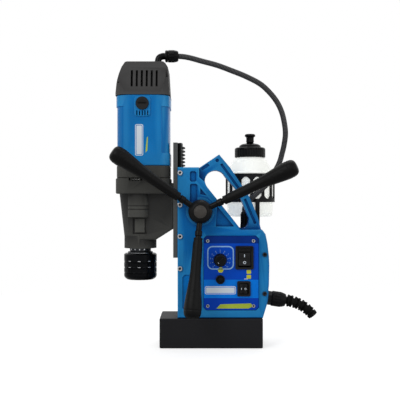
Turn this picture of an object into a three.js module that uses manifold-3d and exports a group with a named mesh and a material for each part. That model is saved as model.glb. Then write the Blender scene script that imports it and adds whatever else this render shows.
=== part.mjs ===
// Magnetic drill press: electromagnet foot, cast stand, hand feed and drill unit.
// Millimetres, +Z up. Origin: centre of the magnet's bottom face.
// +X points away from the drill, -Y is the operator's side with the control panel.
import * as THREE from 'three';
import { mergeVertices } from 'three/addons/utils/BufferGeometryUtils.js';
import Module from 'manifold-3d';

const wasm = await Module();
wasm.setup();

// ---------------------------------------------------------------- driving dimensions
const GAP = 0.3;

const MAGNET_LENGTH = 180;
const MAGNET_WIDTH = 90;
const MAGNET_HEIGHT = 52;
const COIL_MARGIN = 16;
const COIL_WIDTH = 14;
const COIL_DEPTH = 34;

const HOUSING_DEPTH = 86;
const HANDLE_DEPTH = 34;
const COLUMN_LEFT = -58.5;
const COLUMN_RIGHT = -21;
const COLUMN_TOP = 315;
const BOX_TOP = 206;
const WALL = 9;

const BAR_BACK = -66.6;
const BAR_HALF_WIDTH = 30;
const BAR_BOTTOM = 156.5;
const BAR_TOP = 359;
const DOVETAIL_DEPTH = 7;
const DOVETAIL_HALF_WIDTH = 19;
const DOVETAIL_SLOPE = 0.68;
const GIB_THICKNESS = 4;

const HUB_X = -19;
const HUB_Z = 238;
const HUB_RADIUS = 20.6;
const HUB_LENGTH = 32;
const FEED_MODULE = 2;
const FEED_TEETH = 29;
const FEED_SHAFT_RADIUS = 9;
const ARM_ANGLES = [25.5, 145.5, 265.5];
const ARM_TILT = 12;
const ARM_RADIUS = 5;
const ARM_LENGTH = 158;
const GRIP_START = 46;
const GRIP_LENGTH = 136;
const GRIP_RADIUS = 15;

const MOTOR_X = -119.4;
const SPINDLE_X = -126.4;
const MOTOR_HALF_WIDTH = 47.2;
const MOTOR_BORE = 40.5;
const GEARBOX_SPLIT = 296.6;
const MOTOR_BOTTOM = 318;
const MOTOR_TOP = 441;
const TAIL_TOP = 501;
const DRIVE_MODULE = 1.5;
const DRIVE_DISTANCE = 24;
const MOTOR_PINION_TEETH = 9;
const LAYSHAFT_GEAR_TEETH = 23;
const LAYSHAFT_PINION_TEETH = 11;
const SPINDLE_GEAR_TEETH = 21;

const NECK_RADIUS = 28.8;
const NECK_BOTTOM = 172.5;
const SPINDLE_RADIUS = 12.5;
const CHUCK_RADIUS = 29.2;
const CHUCK_TOP = 163;
const CHUCK_BOTTOM = 116.5;
const TOOL_BORE_RADIUS = 9.6;

const CONDUIT_RADIUS = 5;
const BOTTLE_X = 75.4;
const BOTTLE_RADIUS = 43;
const BOTTLE_BOTTOM = 227;
const CAGE_BOTTOM = 254;
const CAGE_TOP = 307;
const CAGE_WALL = 3;

const KNOB_RADIUS = 11.5;
const PANEL_THICKNESS = 2;
const RECESS_DEPTH = 3;

// ---------------------------------------------------------------- derived planes
const FRONT = -HOUSING_DEPTH / 2;
const BACK = HOUSING_DEPTH / 2;
const HOUSING_BOTTOM = MAGNET_HEIGHT + GAP;
const RECESS_FLOOR = FRONT + RECESS_DEPTH;
const PANEL_BACK = RECESS_FLOOR - GAP;
const PANEL_FRONT = PANEL_BACK - PANEL_THICKNESS;
const INNER_FRONT = FRONT + WALL;
const FEED_PITCH_RADIUS = FEED_MODULE * FEED_TEETH / 2;
const RACK_PITCH_X = HUB_X - FEED_PITCH_RADIUS;
const BAR_FACE = COLUMN_LEFT - GAP;
const DOVETAIL_FACE = BAR_FACE + DOVETAIL_DEPTH;
const LAYSHAFT_X = (MOTOR_X + SPINDLE_X) / 2;
const LAYSHAFT_Y = Math.sqrt(DRIVE_DISTANCE ** 2 - ((MOTOR_X - SPINDLE_X) / 2) ** 2);
const CAGE_OUTER = BOTTLE_RADIUS + 0.7 + CAGE_WALL;
const CONDUIT_LANE = HANDLE_DEPTH / 2 + CONDUIT_RADIUS + 1.3;
const BOTTLE_Y = CONDUIT_LANE + CONDUIT_RADIUS + 1.2 + CAGE_OUTER;

// ---------------------------------------------------------------- solids
function facingOut(vertProperties, triVerts) {
  const make = (verts) => new wasm.Manifold(new wasm.Mesh({ numProp: 3, vertProperties, triVerts: verts }));
  const made = make(triVerts);
  return made.volume() > 0 ? made : make(triVerts.slice().reverse());
}

function solidOf(geometry) {
  geometry.deleteAttribute('normal');
  geometry.deleteAttribute('uv');
  const merged = mergeVertices(geometry, 1e-4);
  return facingOut(merged.attributes.position.array, new Uint32Array(merged.index.array));
}

function block([x0, x1], [y0, y1], [z0, z1]) {
  const geometry = new THREE.BoxGeometry(x1 - x0, y1 - y0, z1 - z0);
  geometry.translate((x0 + x1) / 2, (y0 + y1) / 2, (z0 + z1) / 2);
  return solidOf(geometry);
}

// Turns a geometry that stands along Y onto another axis.
// The place is given by its two other coordinates, in X, Y, Z order.
function standOn(geometry, axis, [a, b]) {
  if (axis === 'x') geometry.rotateZ(-Math.PI / 2).translate(0, a, b);
  if (axis === 'y') geometry.translate(a, 0, b);
  if (axis === 'z') geometry.rotateX(Math.PI / 2).translate(a, b, 0);
  return geometry;
}

function rod(axis, at, [from, to], radius, sides = 24, endRadius = radius) {
  const geometry = new THREE.CylinderGeometry(endRadius, radius, to - from, sides);
  geometry.translate(0, (from + to) / 2, 0);
  return solidOf(standOn(geometry, axis, at));
}

// Turned piece: profile points are [radius, height along the axis].
function turned(axis, at, profile, sides = 24) {
  const points = profile.map(([r, h]) => new THREE.Vector2(r, h));
  return solidOf(standOn(new THREE.LatheGeometry(points, sides), axis, at));
}

// Prism along an axis. The outline is given in the two other coordinates, in X, Y, Z order.
const ALONG = {
  x: new THREE.Matrix4().makeBasis(
    new THREE.Vector3(0, 1, 0), new THREE.Vector3(0, 0, 1), new THREE.Vector3(1, 0, 0)),
  y: new THREE.Matrix4().makeBasis(
    new THREE.Vector3(1, 0, 0), new THREE.Vector3(0, 0, 1), new THREE.Vector3(0, 1, 0)),
  z: new THREE.Matrix4(),
};

function prism(axis, outline, [from, to], chamfer = 0) {
  const shape = new THREE.Shape(outline.map(([a, b]) => new THREE.Vector2(a, b)));
  const geometry = new THREE.ExtrudeGeometry(shape, {
    depth: to - from - 2 * chamfer,
    bevelEnabled: chamfer > 0,
    bevelThickness: chamfer,
    bevelSize: chamfer,
    bevelOffset: -chamfer,
    bevelSegments: 1,
  });
  geometry.translate(0, 0, from + chamfer);
  return solidOf(geometry.applyMatrix4(ALONG[axis]));
}

function tube(points, radius, steps, sides = 10) {
  const curve = new THREE.CatmullRomCurve3(points.map((p) => new THREE.Vector3(...p)));
  const ring = arc([0, 0], radius, 0, 360 - 360 / sides, sides - 1);
  const shape = new THREE.Shape(ring.map(([a, b]) => new THREE.Vector2(a, b)));
  return solidOf(new THREE.ExtrudeGeometry(shape, { extrudePath: curve, steps }));
}

function arc([cx, cy], radius, from, to, steps) {
  return Array.from({ length: steps + 1 }, (_, i) => {
    const angle = THREE.MathUtils.degToRad(from + (to - from) * i / steps);
    return [cx + radius * Math.cos(angle), cy + radius * Math.sin(angle)];
  });
}

function roundedRect([a0, a1], [b0, b1], r, steps = 2) {
  return [
    ...arc([a1 - r, b0 + r], r, -90, 0, steps),
    ...arc([a1 - r, b1 - r], r, 0, 90, steps),
    ...arc([a0 + r, b1 - r], r, 90, 180, steps),
    ...arc([a0 + r, b0 + r], r, 180, 270, steps),
  ];
}

// Band of even width between two points of a plane.
function band([ax, ay], [bx, by], width) {
  const length = Math.hypot(bx - ax, by - ay);
  const nx = -(by - ay) / length * width / 2;
  const ny = (bx - ax) / length * width / 2;
  return [[ax + nx, ay + ny], [ax - nx, ay - ny], [bx - nx, by - ny], [bx + nx, by + ny]];
}

const joined = (...solids) => solids.reduce((all, one) => all.add(one));
const without = (solid, ...cuts) => cuts.reduce((left, cut) => left.subtract(cut), solid);

// Spur gear outline with flanks cut straight between two points of the involute.
// A tooth is centred on the start angle.
function gearOutline(teeth, module, start, backlash, addendum = 1) {
  const pitch = module * teeth / 2;
  const base = pitch * Math.cos(Math.PI / 9);
  const root = pitch - 1.25 * module;
  const tip = pitch + addendum * module;
  const involute = (r) => {
    const slant = Math.acos(Math.min(1, base / r));
    return Math.tan(slant) - slant;
  };
  const halfAngle = (r) =>
    Math.PI / (2 * teeth) - backlash / (2 * pitch) + involute(pitch) - involute(r);
  const flank = [root, tip];
  return Array.from({ length: teeth }, (_, i) => {
    const centre = start + 2 * Math.PI * i / teeth;
    const rising = flank.map((r) => [r, centre - halfAngle(r)]);
    const falling = flank.map((r) => [r, centre + halfAngle(r)]).reverse();
    return [...rising, ...falling];
  }).flat().map(([r, angle]) => [r * Math.cos(angle), r * Math.sin(angle)]);
}

const moved = (outline, [da, db]) => outline.map(([a, b]) => [a + da, b + db]);

function part(name, solid, color, roughness, metalness) {
  const { vertProperties, triVerts } = solid.getMesh();
  const geometry = new THREE.BufferGeometry();
  geometry.setAttribute('position', new THREE.BufferAttribute(vertProperties, 3));
  geometry.setIndex(new THREE.BufferAttribute(triVerts, 1));
  const faceted = geometry.toNonIndexed();
  faceted.computeVertexNormals();
  const mesh = new THREE.Mesh(faceted, new THREE.MeshStandardMaterial({ color, roughness, metalness }));
  mesh.name = name;
  return mesh;
}

const BLUE = 0x0569aa;
const PANEL_BLUE = 0x0046af;
const BLACK = 0x161616;
const DARK_GREY = 0x3c3c3a;
const TAIL_GREY = 0x555555;
const STEEL = 0xb9bcc0;

const group = new THREE.Group();
group.name = 'magnetic_drill_press';
const stand = new THREE.Group();
const feed = new THREE.Group();
const carriage = new THREE.Group();
const motor = new THREE.Group();
const spindleLine = new THREE.Group();
const coolant = new THREE.Group();
const cableEntry = new THREE.Group();
feed.position.set(HUB_X, 0, HUB_Z);
motor.position.set(MOTOR_X, 0, 0);
spindleLine.position.set(SPINDLE_X, 0, 0);
coolant.position.set(BOTTLE_X, BOTTLE_Y, 0);
group.add(stand, feed, carriage, coolant);
carriage.add(motor, spindleLine);

// ---------------------------------------------------------------- magnet
function coilRing(clearance, levels) {
  const side = (inset) => [
    [-MAGNET_LENGTH / 2 + inset, MAGNET_LENGTH / 2 - inset],
    [-MAGNET_WIDTH / 2 + inset, MAGNET_WIDTH / 2 - inset],
  ];
  const [ox, oy] = side(COIL_MARGIN + clearance);
  const [ix, iy] = side(COIL_MARGIN + COIL_WIDTH - clearance);
  const core = prism('z', roundedRect(ix, iy, 4), [levels[0] - 1, levels[1] + 1]);
  return prism('z', roundedRect(ox, oy, 8), levels).subtract(core);
}
const halfLength = MAGNET_LENGTH / 2;
const halfWidth = MAGNET_WIDTH / 2;
const magnetOutline = roundedRect([-halfLength, halfLength], [-halfWidth, halfWidth], 2.5, 1);
const coilLeadHole = rod('z', [halfLength - 25, 0], [COIL_DEPTH - 5, MAGNET_HEIGHT + 1], 4, 12);
stand.add(part('magnet_body', without(
  prism('z', magnetOutline, [0, MAGNET_HEIGHT], 1.2),
  coilRing(0, [-1, COIL_DEPTH]),
  coilLeadHole,
), BLACK, 0.55, 0.4));
stand.add(part('magnet_coil', coilRing(GAP, [0.6, COIL_DEPTH - GAP]), 0x6b3a1e, 0.6, 0.2));

// ---------------------------------------------------------------- slide bar and rack
const flankAt = (x) => DOVETAIL_HALF_WIDTH + (x - BAR_FACE) * DOVETAIL_SLOPE;
const FLANK_GAP = GAP * Math.hypot(1, DOVETAIL_SLOPE);
const RACK_HALF_WIDTH = 9.5;
const RACK_ROOT_X = RACK_PITCH_X - 1.25 * FEED_MODULE;
const RACK_TIP_X = RACK_PITCH_X + FEED_MODULE;
const FEED_BACKLASH = 0.3;
const barSection = [
  [BAR_BACK, -BAR_HALF_WIDTH],
  [BAR_FACE, -BAR_HALF_WIDTH],
  [BAR_FACE, -DOVETAIL_HALF_WIDTH],
  [DOVETAIL_FACE, -flankAt(DOVETAIL_FACE)],
  [DOVETAIL_FACE, flankAt(DOVETAIL_FACE)],
  [BAR_FACE, DOVETAIL_HALF_WIDTH],
  [BAR_FACE, BAR_HALF_WIDTH],
  [BAR_BACK, BAR_HALF_WIDTH],
];

function rackOutline(bottom, top) {
  const pitch = Math.PI * FEED_MODULE;
  const half = pitch / 4 - FEED_BACKLASH / 2;
  const slope = Math.tan(Math.PI / 9);
  const atRoot = half + 1.25 * FEED_MODULE * slope;
  const atTip = half - FEED_MODULE * slope;
  const first = Math.ceil((bottom + atRoot - HUB_Z) / pitch);
  const last = Math.floor((top - atRoot - HUB_Z) / pitch);
  const teeth = Array.from({ length: last - first + 1 }, (_, i) => HUB_Z + (first + i) * pitch);
  return [
    [DOVETAIL_FACE - 1, bottom],
    [RACK_ROOT_X, bottom],
    ...teeth.flatMap((z) => [
      [RACK_ROOT_X, z - atRoot],
      [RACK_TIP_X, z - atTip],
      [RACK_TIP_X, z + atTip],
      [RACK_ROOT_X, z + atRoot],
    ]),
    [RACK_ROOT_X, top],
    [DOVETAIL_FACE - 1, top],
  ];
}
carriage.add(part('slide_bar', joined(
  prism('z', barSection, [BAR_BOTTOM, BAR_TOP]),
  prism('y', rackOutline(BAR_BOTTOM, BAR_TOP), [-RACK_HALF_WIDTH, RACK_HALF_WIDTH]),
), 0x1b1d1b, 0.4, 0.6));

// ---------------------------------------------------------------- stand housing
const SLOT_HALF_WIDTH = RACK_HALF_WIDTH + 1;
const SLOT_FACE = DOVETAIL_FACE + GAP;
const GEAR_CHAMBER_RADIUS = FEED_PITCH_RADIUS + FEED_MODULE + 0.6;
const GEAR_HALF_WIDTH = 9;
const CHAMBER_FRONT = -GEAR_HALF_WIDTH - 1.5;
const PLUG_FRONT = GEAR_HALF_WIDTH + 2.5;
const GIB_SCREW_X = -54.2;
const GIB_SCREW_HEIGHTS = [138.6, 194.5, 249.5, 305];
const PANEL_SCREWS = [[-6, 186.7], [73.6, 186.7], [-6, 73.7], [73.6, 73.7]];
const HOUSING_SCREWS = [[93, 163], [93, 95], [-23.7, 59.8]];
const BOX_SIDE = [[90, HOUSING_BOTTOM], [97, 75.5], [100.6, 110], [101.3, 145], [100.4, 161],
  [98, 182.5], [94.6, 198.5], [89, BOX_TOP]];
const HANDLE_TOP = [[14.5, 339], [33.7, 316], [52.4, 288], [65.8, 268], [73.8, 251], [83, 228]];
const HANDLE_ARC_CENTRE = [7.8, 292];

const thickOutline = [
  [COLUMN_LEFT, HOUSING_BOTTOM], ...BOX_SIDE, [52, BOX_TOP], [-10, 288.5],
  [COLUMN_RIGHT, 298], [COLUMN_RIGHT, COLUMN_TOP], [COLUMN_LEFT, COLUMN_TOP],
];
const handleOutline = [
  [COLUMN_RIGHT - 9, 190], [89, 190], [89, BOX_TOP], ...HANDLE_TOP.toReversed(),
  [COLUMN_RIGHT, COLUMN_TOP], [COLUMN_RIGHT - 9, COLUMN_TOP],
];
const openingOutline = [
  ...arc(HANDLE_ARC_CENTRE, 18.7, 25, 222, 14),
  [48.7, 211], [52, 208.2], [57, 207.2], [62, 209.6], [66.5, 216], [67.5, 225],
  [61.4, 240], [53.4, 260], [44, 278],
];
const channelOutline = [
  [BAR_BACK, flankAt(BAR_BACK) + FLANK_GAP],
  [SLOT_FACE, flankAt(SLOT_FACE) + FLANK_GAP],
  [SLOT_FACE, SLOT_HALF_WIDTH],
  [RACK_TIP_X + 0.7, SLOT_HALF_WIDTH],
  [RACK_TIP_X + 0.7, -SLOT_HALF_WIDTH],
  [SLOT_FACE, -SLOT_HALF_WIDTH],
  [SLOT_FACE, -flankAt(SLOT_FACE) - 2 * FLANK_GAP - GIB_THICKNESS],
  [BAR_BACK, -flankAt(BAR_BACK) - 2 * FLANK_GAP - GIB_THICKNESS],
];

const pocket = (outline, face, depth) => prism('y', outline, [face - 5, face + depth]);
const HANDLE_FRONT = -HANDLE_DEPTH / 2;
const facePockets = [
  pocket(roundedRect([-37, -26], [290, 308], 2, 1), FRONT, 4),
  pocket(roundedRect([-37, -24], [255, 286], 2, 1), FRONT, 4),
  pocket([[-19, 279], [-19, 268], [-8, 266]], FRONT, 4),
  pocket([[10, 248], [8, 212], [40, 212]], FRONT, 5),
  pocket(roundedRect([-50, -18], [66, 128], 4, 1), FRONT, 2),
  pocket(band([-17, 312.5], [-4, 321], 5), HANDLE_FRONT, 3),
  pocket(band([18, 322], [51, 276.5], 4.5), HANDLE_FRONT, 3),
  pocket(band([60, 260], [78.5, 216], 4.5), HANDLE_FRONT, 3),
  rod('y', [11, 328.5], [HANDLE_FRONT - 1, HANDLE_FRONT + 3], 3.2, 10),
];
const PANEL_X = [-13.5, 83];
const PANEL_Z = [66, 196];
const CAVITY_X = [-34, 83];
const CAVITY_Z = [67, 196];
const COVER_MARGIN = 5;
const PILLAR_BACK = -10;
const grown = ([low, high], by) => [low - by, high + by];
const pillars = [[-4, 77], [75, 77], [-4, 185], [75, 185]].map((at) =>
  rod('y', at, [INNER_FRONT - 1, PILLAR_BACK], 5, 10));
const cavity = without(
  prism('y', roundedRect(CAVITY_X, CAVITY_Z, 6, 1), [INNER_FRONT, BACK + 1]),
  ...pillars,
);
const GLAND_AT = [99, 0, 83];
const GLAND_DROOP = THREE.MathUtils.degToRad(8);
cableEntry.position.set(...GLAND_AT);
cableEntry.rotation.set(0, GLAND_DROOP, 0);
cableEntry.updateMatrix();
const atCableEntry = (solid) => solid.transform(cableEntry.matrix.elements);
const CONDUIT_GLAND_X = 62;
const CONDUIT_GLAND_Y = CONDUIT_LANE + 2;

const housing = without(
  joined(
    prism('y', thickOutline, [FRONT, BACK], 2),
    prism('y', handleOutline, [HANDLE_FRONT, -HANDLE_FRONT], 3),
    rod('y', [HUB_X, HUB_Z], [FRONT - 2, FRONT + 4], 25, 24),
    atCableEntry(rod('x', [0, 0], [-12, 2.6], 14, 20)),
  ),
  prism('y', openingOutline, [FRONT - 5, BACK + 5]),
  prism('z', channelOutline, [HOUSING_BOTTOM - 1, COLUMN_TOP + 1]),
  rod('y', [HUB_X, HUB_Z], [CHAMBER_FRONT, BACK + 1], GEAR_CHAMBER_RADIUS, 28),
  rod('y', [HUB_X, HUB_Z], [FRONT - 3, 0], FEED_SHAFT_RADIUS + GAP, 20),
  ...facePockets,
  prism('y', roundedRect(PANEL_X, PANEL_Z, 5, 1), [FRONT - 1, RECESS_FLOOR]),
  prism('y', roundedRect([-1, 79], [82, 180], 3, 1), [RECESS_FLOOR - 1, INNER_FRONT + 1]),
  cavity,
  prism('y', roundedRect(grown(CAVITY_X, COVER_MARGIN), grown(CAVITY_Z, COVER_MARGIN), 6, 1),
    [BACK - RECESS_DEPTH, BACK + 1]),
  atCableEntry(rod('x', [0, 0], [-20, 4], 9, 16)),
  rod('z', [CONDUIT_GLAND_X, CONDUIT_GLAND_Y], [CAVITY_Z[1] - 1, BOX_TOP + 1], 5.3, 12),
  rod('z', [halfLength - 25, 0], [HOUSING_BOTTOM - 1, CAVITY_Z[0] + 1], 4, 12),
  ...GIB_SCREW_HEIGHTS.map((z) => rod('y', [GIB_SCREW_X, z], [FRONT - 1, -20], 3 + GAP, 10)),
  ...PANEL_SCREWS.map((at) => rod('y', at, [RECESS_FLOOR - 1, INNER_FRONT + 1], 1.6 + GAP, 8)),
  ...HOUSING_SCREWS.map((at) => rod('y', at, [FRONT - 1, FRONT + 15], 2.2 + GAP, 8)),
);
stand.add(part('stand_housing', housing, BLUE, 0.45, 0.3));

const coverOutline = roundedRect(
  grown(CAVITY_X, COVER_MARGIN - GAP), grown(CAVITY_Z, COVER_MARGIN - GAP), 6, 1);
stand.add(part('back_cover', prism('y', coverOutline, [BACK - RECESS_DEPTH + GAP, BACK + 1.5], 0.8),
  BLUE, 0.5, 0.3));

const gibOutline = [DOVETAIL_FACE - 0.1, BAR_FACE + 0.6].flatMap((x) => {
  const inner = flankAt(x) + FLANK_GAP;
  const outer = inner + GIB_THICKNESS;
  return x > BAR_FACE + 1 ? [[x, -inner], [x, -outer]] : [[x, -outer], [x, -inner]];
});
stand.add(part('gib_strip', prism('z', gibOutline, [HOUSING_BOTTOM + 8, COLUMN_TOP - 1]),
  STEEL, 0.4, 0.8));

// Socket head screw pushed in from the operator's side, head underside at `face`.
function socketScrew([x, z], face, tip, shank, head, height) {
  return without(
    joined(
      rod('y', [x, z], [face - height, face], head, 10),
      rod('y', [x, z], [face - 1, tip], shank, 6),
    ),
    rod('y', [x, z], [face - height - 1, face - height * 0.35], head * 0.5, 6),
  );
}
const gibScrewTip = -flankAt(GIB_SCREW_X) - FLANK_GAP - GIB_THICKNESS - 2.6;
GIB_SCREW_HEIGHTS.forEach((z, i) => {
  const screw = socketScrew([GIB_SCREW_X, z], FRONT - GAP, gibScrewTip, 3, 4.6, 3);
  stand.add(part(`gib_screw_${i + 1}`, screw, 0x9a9da2, 0.35, 0.8));
});
PANEL_SCREWS.forEach((at, i) => {
  const screw = socketScrew(at, PANEL_FRONT - GAP, RECESS_FLOOR + 5, 1.6, 3.2, 1.8);
  stand.add(part(`panel_screw_${i + 1}`, screw, STEEL, 0.35, 0.8));
});
HOUSING_SCREWS.forEach((at, i) => {
  const screw = socketScrew(at, FRONT - GAP, FRONT + 12, 2.2, 4, 2.4);
  stand.add(part(`housing_screw_${i + 1}`, screw, 0x2a2c2e, 0.4, 0.7));
});

// ---------------------------------------------------------------- control panel
const SPEED_AT = [15.6, 153.6];
const BREAKER_AT = [15.8, 119.7];
const POWER = { x: [42, 73.6], z: [137.4, 178.1] };
const POWER_KEY = { x: [46.5, 69.1], z: [141.5, 167.5] };
const MAGNET_SWITCH = { x: [45.2, 68.4], z: [90.6, 117.1] };
const SWITCH_RIM = 3;
const inset = ({ x, z }, by) => [[x[0] + by, x[1] - by], [z[0] + by, z[1] - by]];
const prismIn = (area, by, levels, chamfer = 0) =>
  prism('y', roundedRect(...inset(area, by), 1.5, 1), levels, chamfer);

const panelPlate = without(
  prism('y', roundedRect(grown(PANEL_X, -0.6), grown(PANEL_Z, -0.6), 5, 1), [PANEL_FRONT, PANEL_BACK]),
  prismIn(POWER, SWITCH_RIM, [PANEL_FRONT - 1, PANEL_BACK + 1]),
  prismIn(MAGNET_SWITCH, SWITCH_RIM, [PANEL_FRONT - 1, PANEL_BACK + 1]),
  rod('y', SPEED_AT, [PANEL_FRONT - 1, PANEL_BACK + 1], 5.3, 14),
  rod('y', BREAKER_AT, [PANEL_FRONT - 1, PANEL_BACK + 1], 6.3, 14),
  ...PANEL_SCREWS.map((at) => rod('y', at, [PANEL_FRONT - 1, PANEL_BACK + 1], 1.6 + GAP, 8)),
);
stand.add(part('control_panel', panelPlate, PANEL_BLUE, 0.4, 0.1));

// Switch case: rim in front of the panel, open well for the key, case behind the panel.
const KEY_WELL = 12;
function switchCase(area, well) {
  return without(
    joined(
      prismIn(area, 0, [PANEL_FRONT - GAP - 3, PANEL_FRONT - GAP]),
      prismIn(area, SWITCH_RIM + GAP, [PANEL_FRONT - 1, PANEL_BACK + 20]),
    ),
    prismIn(well, 0, [PANEL_FRONT - 5, PANEL_FRONT + KEY_WELL]),
  );
}
const ridges = [170.2, 172.6, 175].map((z) =>
  block([POWER_KEY.x[0] + 1, POWER_KEY.x[1] - 1],
    [PANEL_FRONT - GAP - 4, PANEL_FRONT - GAP - 2], [z - 0.6, z + 0.6]));
const magnetKey = { x: [48.8, 64.8], z: [94.4, 113.3] };
stand.add(part('power_switch_body', joined(switchCase(POWER, POWER_KEY), ...ridges), BLACK, 0.5, 0));
stand.add(part('magnet_switch_body', switchCase(MAGNET_SWITCH, magnetKey), BLACK, 0.5, 0));

// Rocking key with a shallow V front, swinging about its middle line behind the panel's face.
const KEY_SWING = THREE.MathUtils.degToRad(7);
const KEY_PIVOT = PANEL_FRONT + 3;
function rockingKey(axis, span, half) {
  const front = -8.5;
  const outline = [[front, -half], [front + 2.2, 0], [front, half], [5, half * 0.55], [5, -half * 0.55]];
  const along = axis === 'x' ? outline : outline.map(([depth, side]) => [side, depth]);
  return prism(axis, along, [-span / 2, span / 2], 0.6);
}
const middle = ([low, high]) => (low + high) / 2;
const KEY_GAP = 0.7;
const powerKeyHalf = (POWER_KEY.z[1] - POWER_KEY.z[0]) / 2 - 1.6;
const powerKeySpan = POWER_KEY.x[1] - POWER_KEY.x[0] - 2 * KEY_GAP;
const powerRocker = part('power_rocker', rockingKey('x', powerKeySpan, powerKeyHalf), BLACK, 0.35, 0);
powerRocker.position.set(middle(POWER_KEY.x), KEY_PIVOT, middle(POWER_KEY.z));
powerRocker.rotation.set(-KEY_SWING, 0, 0);
const magnetKeyHalf = (magnetKey.x[1] - magnetKey.x[0]) / 2 - 1.2;
const magnetKeySpan = magnetKey.z[1] - magnetKey.z[0] - 2 * KEY_GAP;
const magnetRocker = part('magnet_rocker', rockingKey('z', magnetKeySpan, magnetKeyHalf),
  0x1d1f22, 0.35, 0);
magnetRocker.position.set(middle(magnetKey.x), KEY_PIVOT, middle(magnetKey.z));
magnetRocker.rotation.set(0, 0, -KEY_SWING);
stand.add(powerRocker, magnetRocker);

stand.add(part('speed_potentiometer', without(
  joined(
    rod('y', SPEED_AT, [PANEL_FRONT - 2.2, PANEL_BACK + 2], 5, 14),
    rod('y', SPEED_AT, [PANEL_BACK + GAP, PANEL_BACK + 14], 10, 18),
  ),
  rod('y', SPEED_AT, [PANEL_FRONT - 3, PANEL_BACK + 10], 3 + GAP, 10),
), 0x3a3d40, 0.5, 0.5));
const KNOB_BACK = PANEL_FRONT - 2.6;
stand.add(part('speed_knob', joined(
  turned('y', SPEED_AT, [[0, KNOB_BACK - 13], [KNOB_RADIUS - 2.6, KNOB_BACK - 13],
    [KNOB_RADIUS - 1.6, KNOB_BACK - 12], [KNOB_RADIUS - 0.8, KNOB_BACK - 3],
    [KNOB_RADIUS, KNOB_BACK - 2], [KNOB_RADIUS, KNOB_BACK], [0, KNOB_BACK]], 16),
  rod('y', SPEED_AT, [KNOB_BACK - 1, PANEL_BACK + 9], 3, 10),
), BLACK, 0.4, 0));
stand.add(part('breaker_body', without(
  joined(
    rod('y', BREAKER_AT, [PANEL_FRONT - 4, PANEL_FRONT - GAP], 7.9, 16),
    rod('y', BREAKER_AT, [PANEL_FRONT - 1, PANEL_BACK + 3], 6, 14),
    rod('y', BREAKER_AT, [PANEL_BACK + GAP, PANEL_BACK + 22], 8.5, 14),
  ),
  rod('y', BREAKER_AT, [PANEL_FRONT - 5, PANEL_BACK + 8], 4.5 + GAP, 14),
), BLACK, 0.5, 0));
stand.add(part('breaker_button', rod('y', BREAKER_AT, [PANEL_FRONT - 6.5, PANEL_BACK + 4.5], 4.5, 14),
  0x202225, 0.35, 0));

stand.add(part('circuit_board', joined(
  block([-9, 80], [PILLAR_BACK + GAP, PILLAR_BACK + GAP + 1.8], [72, 190]),
  block([0, 22], [PILLAR_BACK + 1, PILLAR_BACK + 18], [90, 118]),
  block([30, 62], [PILLAR_BACK + 1, PILLAR_BACK + 14], [88, 112]),
  block([6, 60], [PILLAR_BACK + 1, PILLAR_BACK + 9], [130, 150]),
  rod('y', [14, 168], [PILLAR_BACK + 1, PILLAR_BACK + 26], 9, 14),
  rod('y', [40, 168], [PILLAR_BACK + 1, PILLAR_BACK + 20], 7, 12),
), 0x1e6b3a, 0.5, 0.1));

// ---------------------------------------------------------------- cable entry
const STRAIN_RIBS = 8;
cableEntry.add(part('cable_gland', without(
  joined(
    rod('x', [0, 0], [2.6 + GAP, 9.6], 12.5, 6),
    rod('x', [0, 0], [-16, 3], 8.7, 14),
    rod('x', [0, 0], [9, 16], 10, 16),
  ),
  rod('x', [0, 0], [-17, 17], 5, 10),
), BLACK, 0.45, 0));
cableEntry.add(part('gland_nut', without(
  turned('x', [0, 0], [[0, 10], [13.2, 10], [13.5, 12], [13.5, 26], [11.5, 32], [10.6, 35], [0, 35]], 16),
  rod('x', [0, 0], [9, 17], 10 + 2 * GAP, 16),
  rod('x', [0, 0], [16, 36], 7 + 2 * GAP, 10),
), BLACK, 0.4, 0));
const strainCurve = new THREE.QuadraticBezierCurve3(
  new THREE.Vector3(34, 0, 0), new THREE.Vector3(66, 0, 1), new THREE.Vector3(88, 0, -20));
const strainPoints = Array.from({ length: 9 }, (_, i) => strainCurve.getPoint(i / 8).toArray());
const ribAt = (t, radius, thickness) => {
  const place = new THREE.Matrix4().compose(
    strainCurve.getPoint(t),
    new THREE.Quaternion().setFromUnitVectors(new THREE.Vector3(1, 0, 0), strainCurve.getTangent(t)),
    new THREE.Vector3(1, 1, 1),
  );
  return rod('x', [0, 0], [-thickness / 2, thickness / 2], radius, 12).transform(place.elements);
};
const strainRibs = Array.from({ length: STRAIN_RIBS }, (_, i) => ribAt(0.1 + i * 0.105, 11 - i * 0.15, 4));
cableEntry.add(part('strain_relief', without(
  joined(
    tube(strainPoints, 7, 8, 8),
    rod('x', [0, 0], [22, 36], 7, 10),
    ...strainRibs,
    ribAt(0.94, 10, 8),
  ),
  tube([[20, 0, 0], [28, 0, 0], ...strainPoints, [92, 0, -25]], 4, 10, 6),
), BLACK, 0.7, 0));
stand.add(cableEntry);

// ---------------------------------------------------------------- hand feed
const shaftFront = FRONT - 29;
const hubBack = FRONT - 2 - GAP;
const hubFront = hubBack - HUB_LENGTH;
const gearStart = Math.PI / FEED_TEETH;
const plainGear = prism('y', gearOutline(FEED_TEETH, FEED_MODULE, Math.PI + gearStart, FEED_BACKLASH),
  [-GEAR_HALF_WIDTH, GEAR_HALF_WIDTH]);
feed.add(part('feed_pinion', joined(
  plainGear,
  rod('y', [0, 0], [shaftFront, BACK - 5], FEED_SHAFT_RADIUS, 20),
), 0x8e9196, 0.35, 0.9));
const plug = part('feed_bearing_plug', without(
  rod('y', [0, 0], [PLUG_FRONT, BACK], GEAR_CHAMBER_RADIUS - GAP, 28),
  rod('y', [0, 0], [PLUG_FRONT - 1, BACK - 4], FEED_SHAFT_RADIUS + GAP, 20),
), DARK_GREY, 0.5, 0.4);
plug.position.copy(feed.position);
stand.add(plug);

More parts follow.
